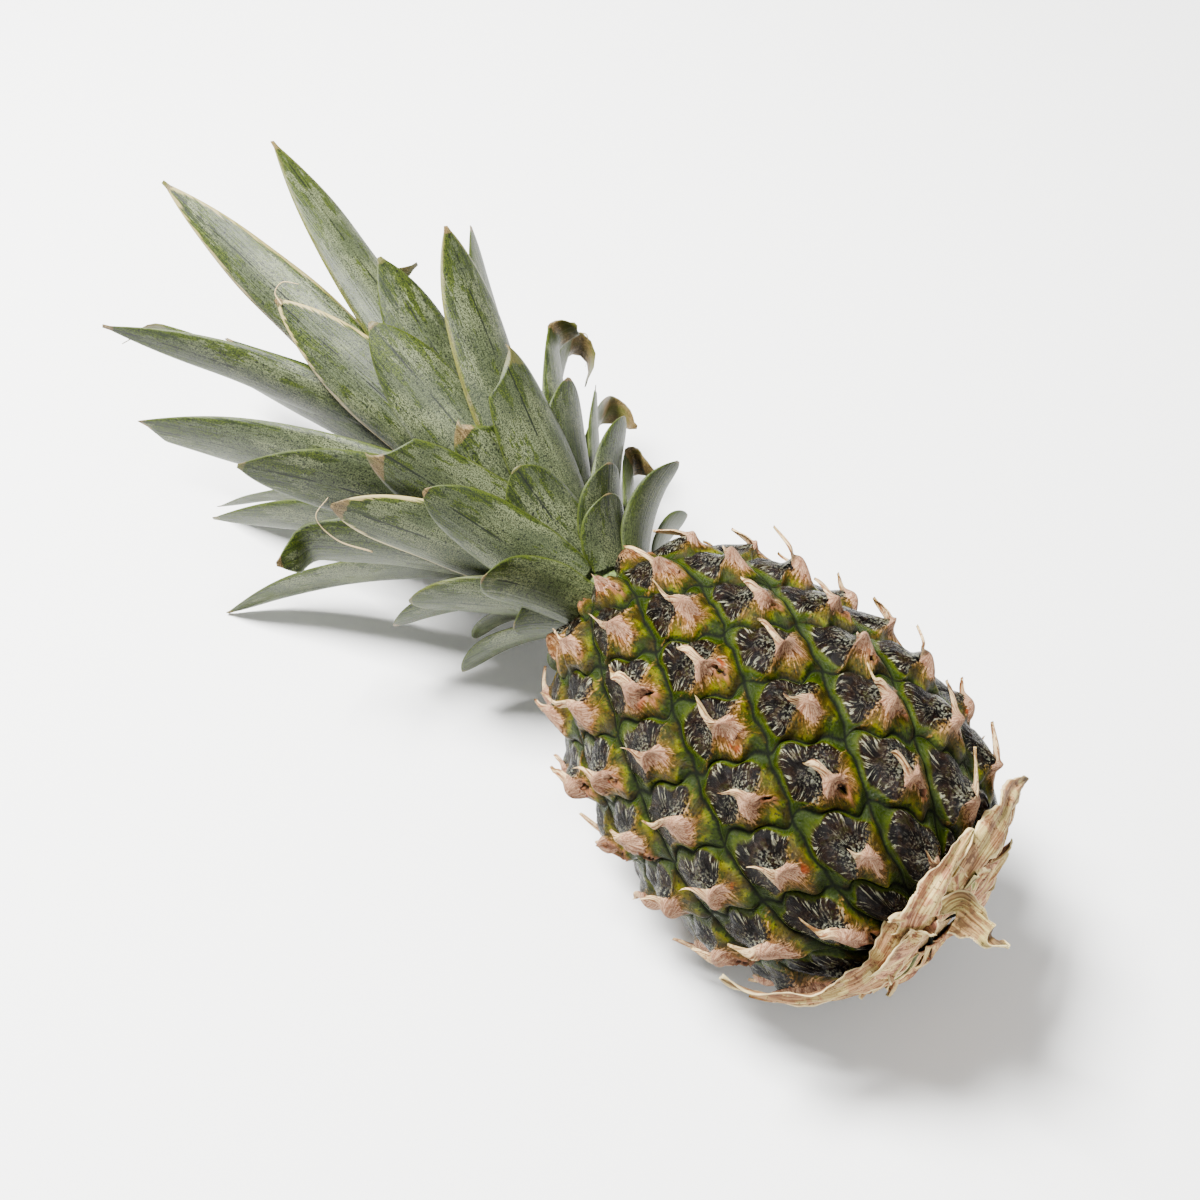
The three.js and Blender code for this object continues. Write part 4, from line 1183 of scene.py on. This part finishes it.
def build_scraps():
    sheets = []
    for number in range(SCRAPS):
        chance = EYE_CHANCES[SCRAP_CHANCES + number]
        away = SCRAP_START + np.linspace(0, 12 + 20 * chance[0], 4)
        lift = SCRAP_LIFT + np.array([0, 1, 1.5, 1 + 7 * chance[1]])
        start = 360 / SCRAPS * (number + 0.8 * chance[2])
        angle = start + np.linspace(0, 1, 4) * 60 * (chance[3] - 0.3)
        route = axis_point(base_along(away) - lift, away, np.radians(angle))
        width, tip = 7 + 8 * chance[4], 0.8 + 5 * chance[5] ** 2
        fresh = 0.9 * (chance[6] < GREEN_SCRAPS)
        sheets.append(strip_sheet(route, width, tip, chance[5:8] * STRIP_SHIFT, fresh))
    return make_strips("straw_scraps", sheets)


scraps = build_scraps()
print("scrap faces:", len(scraps.data.polygons))

# %% [markdown]
# ## Threads
# Where a leaf tore, a strand of its tough margin hangs on as a thread. Each is a thin tube along a short
# curve that starts near the tip of its leaf. The tube is built from rings of points, as the leaves are,
# so the same helper closes it.

# %% Build the threads
THREAD_RADIUS, THREAD_ROWS, THREAD_SIDES = 0.35, 24, 6
# From the tip of a leaf: (millimetres ahead, aside, outward).
THREADS = {
    43: [(-4, 0, 1), (1, 2, 2), (1, 7, 3), (-5, 11, 3)],
    17: [(-20, -14, 1), (-6, -12, 3), (4, -4, 4), (2, 5, 3)],
    8: [(-8, 2, 1), (-2, 8, 5), (-10, 12, 8), (-24, 13, 9)],
    34: [(-4, 0, 1), (2, 5, 4), (-4, 9, 7), (-13, 10, 8)],
}


def build_threads():
    rings = []
    turns = np.linspace(0, 2 * np.pi, THREAD_SIDES, endpoint=False)
    for number, steps in THREADS.items():
        leaf = Leaf(number)
        knots = leaf.midline(leaf.steps + 1)
        ahead = (knots[-1] - knots[-2]) / np.linalg.norm(knots[-1] - knots[-2])
        out = np.cross(leaf.side, ahead)
        out *= np.sign(out @ outward(leaf.angle))
        ahead_by, aside_by, out_by = np.array(steps, float).T[:, :, None]
        points = knots[-1] + ahead * ahead_by + leaf.side * aside_by + out * out_by
        middle, heading = along_route(points, THREAD_ROWS)[:2]
        first = np.cross(heading, out)
        first /= np.linalg.norm(first, axis=1, keepdims=True)
        second = np.cross(heading, first)
        thin = THREAD_RADIUS * (1 - 0.7 * np.linspace(0, 1, THREAD_ROWS))[:, None, None]
        round_it = first[:, None] * np.cos(turns)[:, None] + second[:, None] * np.sin(turns)[:, None]
        rings.append(middle[:, None] + thin * round_it)
    return make_sheets("leaf_threads", np.array(rings), straw, {})


threads = build_threads()
print("thread faces:", len(threads.data.polygons))

# %% [markdown]
# ## Stage, light and camera
# A plain pale floor and soft lights, as in a small product studio: a square key light from above, a
# weak fill light from beside the camera, and a white sky that lightens the shadows. The larger a light
# is, the softer its shadows are. The camera looks down on the fruit where it lies.

# %% Floor
FLOOR_SIZE = 8.0


def build_floor():
    material, shader = new_material("pale_floor", Roughness=0.8)[::2]
    shader.inputs["Base Color"].default_value = linear("#f6f6f4")
    bpy.ops.mesh.primitive_plane_add(size=FLOOR_SIZE)
    floor = bpy.context.object
    floor.name = "floor"
    floor.data.materials.append(material)


build_floor()
print("floor:", FLOOR_SIZE, "m square")

# %% Camera
CAMERA_TURN, CAMERA_TILT = np.radians(50.07), np.radians(50.0)
CAMERA_DISTANCE, AIM_RIGHT, AIM_UP = 615.17, -68.26, 65.27
LENS, SENSOR = 52.74, 36.0


def build_camera():
    right = np.array([np.cos(CAMERA_TURN), np.sin(CAMERA_TURN), 0])
    level = np.array([np.sin(CAMERA_TURN), -np.cos(CAMERA_TURN), 0])
    back = level * np.cos(CAMERA_TILT) + np.array([0, 0, np.sin(CAMERA_TILT)])
    up = np.cross(back, right)
    data = bpy.data.cameras.new("camera")
    data.lens, data.sensor_width, data.sensor_fit = LENS, SENSOR, "HORIZONTAL"
    data.dof.use_dof = False
    data.clip_start, data.clip_end = 0.01, 20
    camera = bpy.data.objects.new("camera", data)
    place = CENTRE + AIM_RIGHT * right + AIM_UP * up + CAMERA_DISTANCE * back
    matrix = np.eye(4)
    matrix[:3, 0], matrix[:3, 1], matrix[:3, 2], matrix[:3, 3] = right, up, back, place * MM
    camera.matrix_world = Matrix(matrix.tolist())
    bpy.context.scene.collection.objects.link(camera)
    bpy.context.scene.camera = camera
    return right, up, back


camera_right, camera_up, camera_back = build_camera()
print("camera at", [round(x, 3) for x in bpy.context.scene.camera.location])

# %% Lights
SKY_STRENGTH = 0.58


def area_light(name, direction, distance, size, power):
    """A square soft light that looks at the fruit from a direction."""
    data = bpy.data.lights.new(name, "AREA")
    data.shape, data.size, data.energy = "SQUARE", size, power
    light = bpy.data.objects.new(name, data)
    heading = Vector(direction).normalized()
    light.location = heading * distance + Vector((0.05, 0, 0.05))
    light.rotation_euler = heading.to_track_quat("Z", "Y").to_euler()
    bpy.context.scene.collection.objects.link(light)


def build_light():
    from_above = 0.9 * camera_up - 0.5 * camera_right + 0.7 * camera_back
    area_light("key", from_above, distance=1.5, size=0.5, power=145)
    area_light("fill", camera_back + 0.8 * camera_right, distance=1.6, size=1.2, power=10)
    world = bpy.data.worlds.new("studio")
    bpy.context.scene.world = world
    world.use_nodes = True
    background = world.node_tree.nodes["Background"]
    background.inputs["Color"].default_value = linear("#ffffff")
    background.inputs["Strength"].default_value = SKY_STRENGTH


build_light()
print("lights:", [light.name for light in bpy.data.lights])
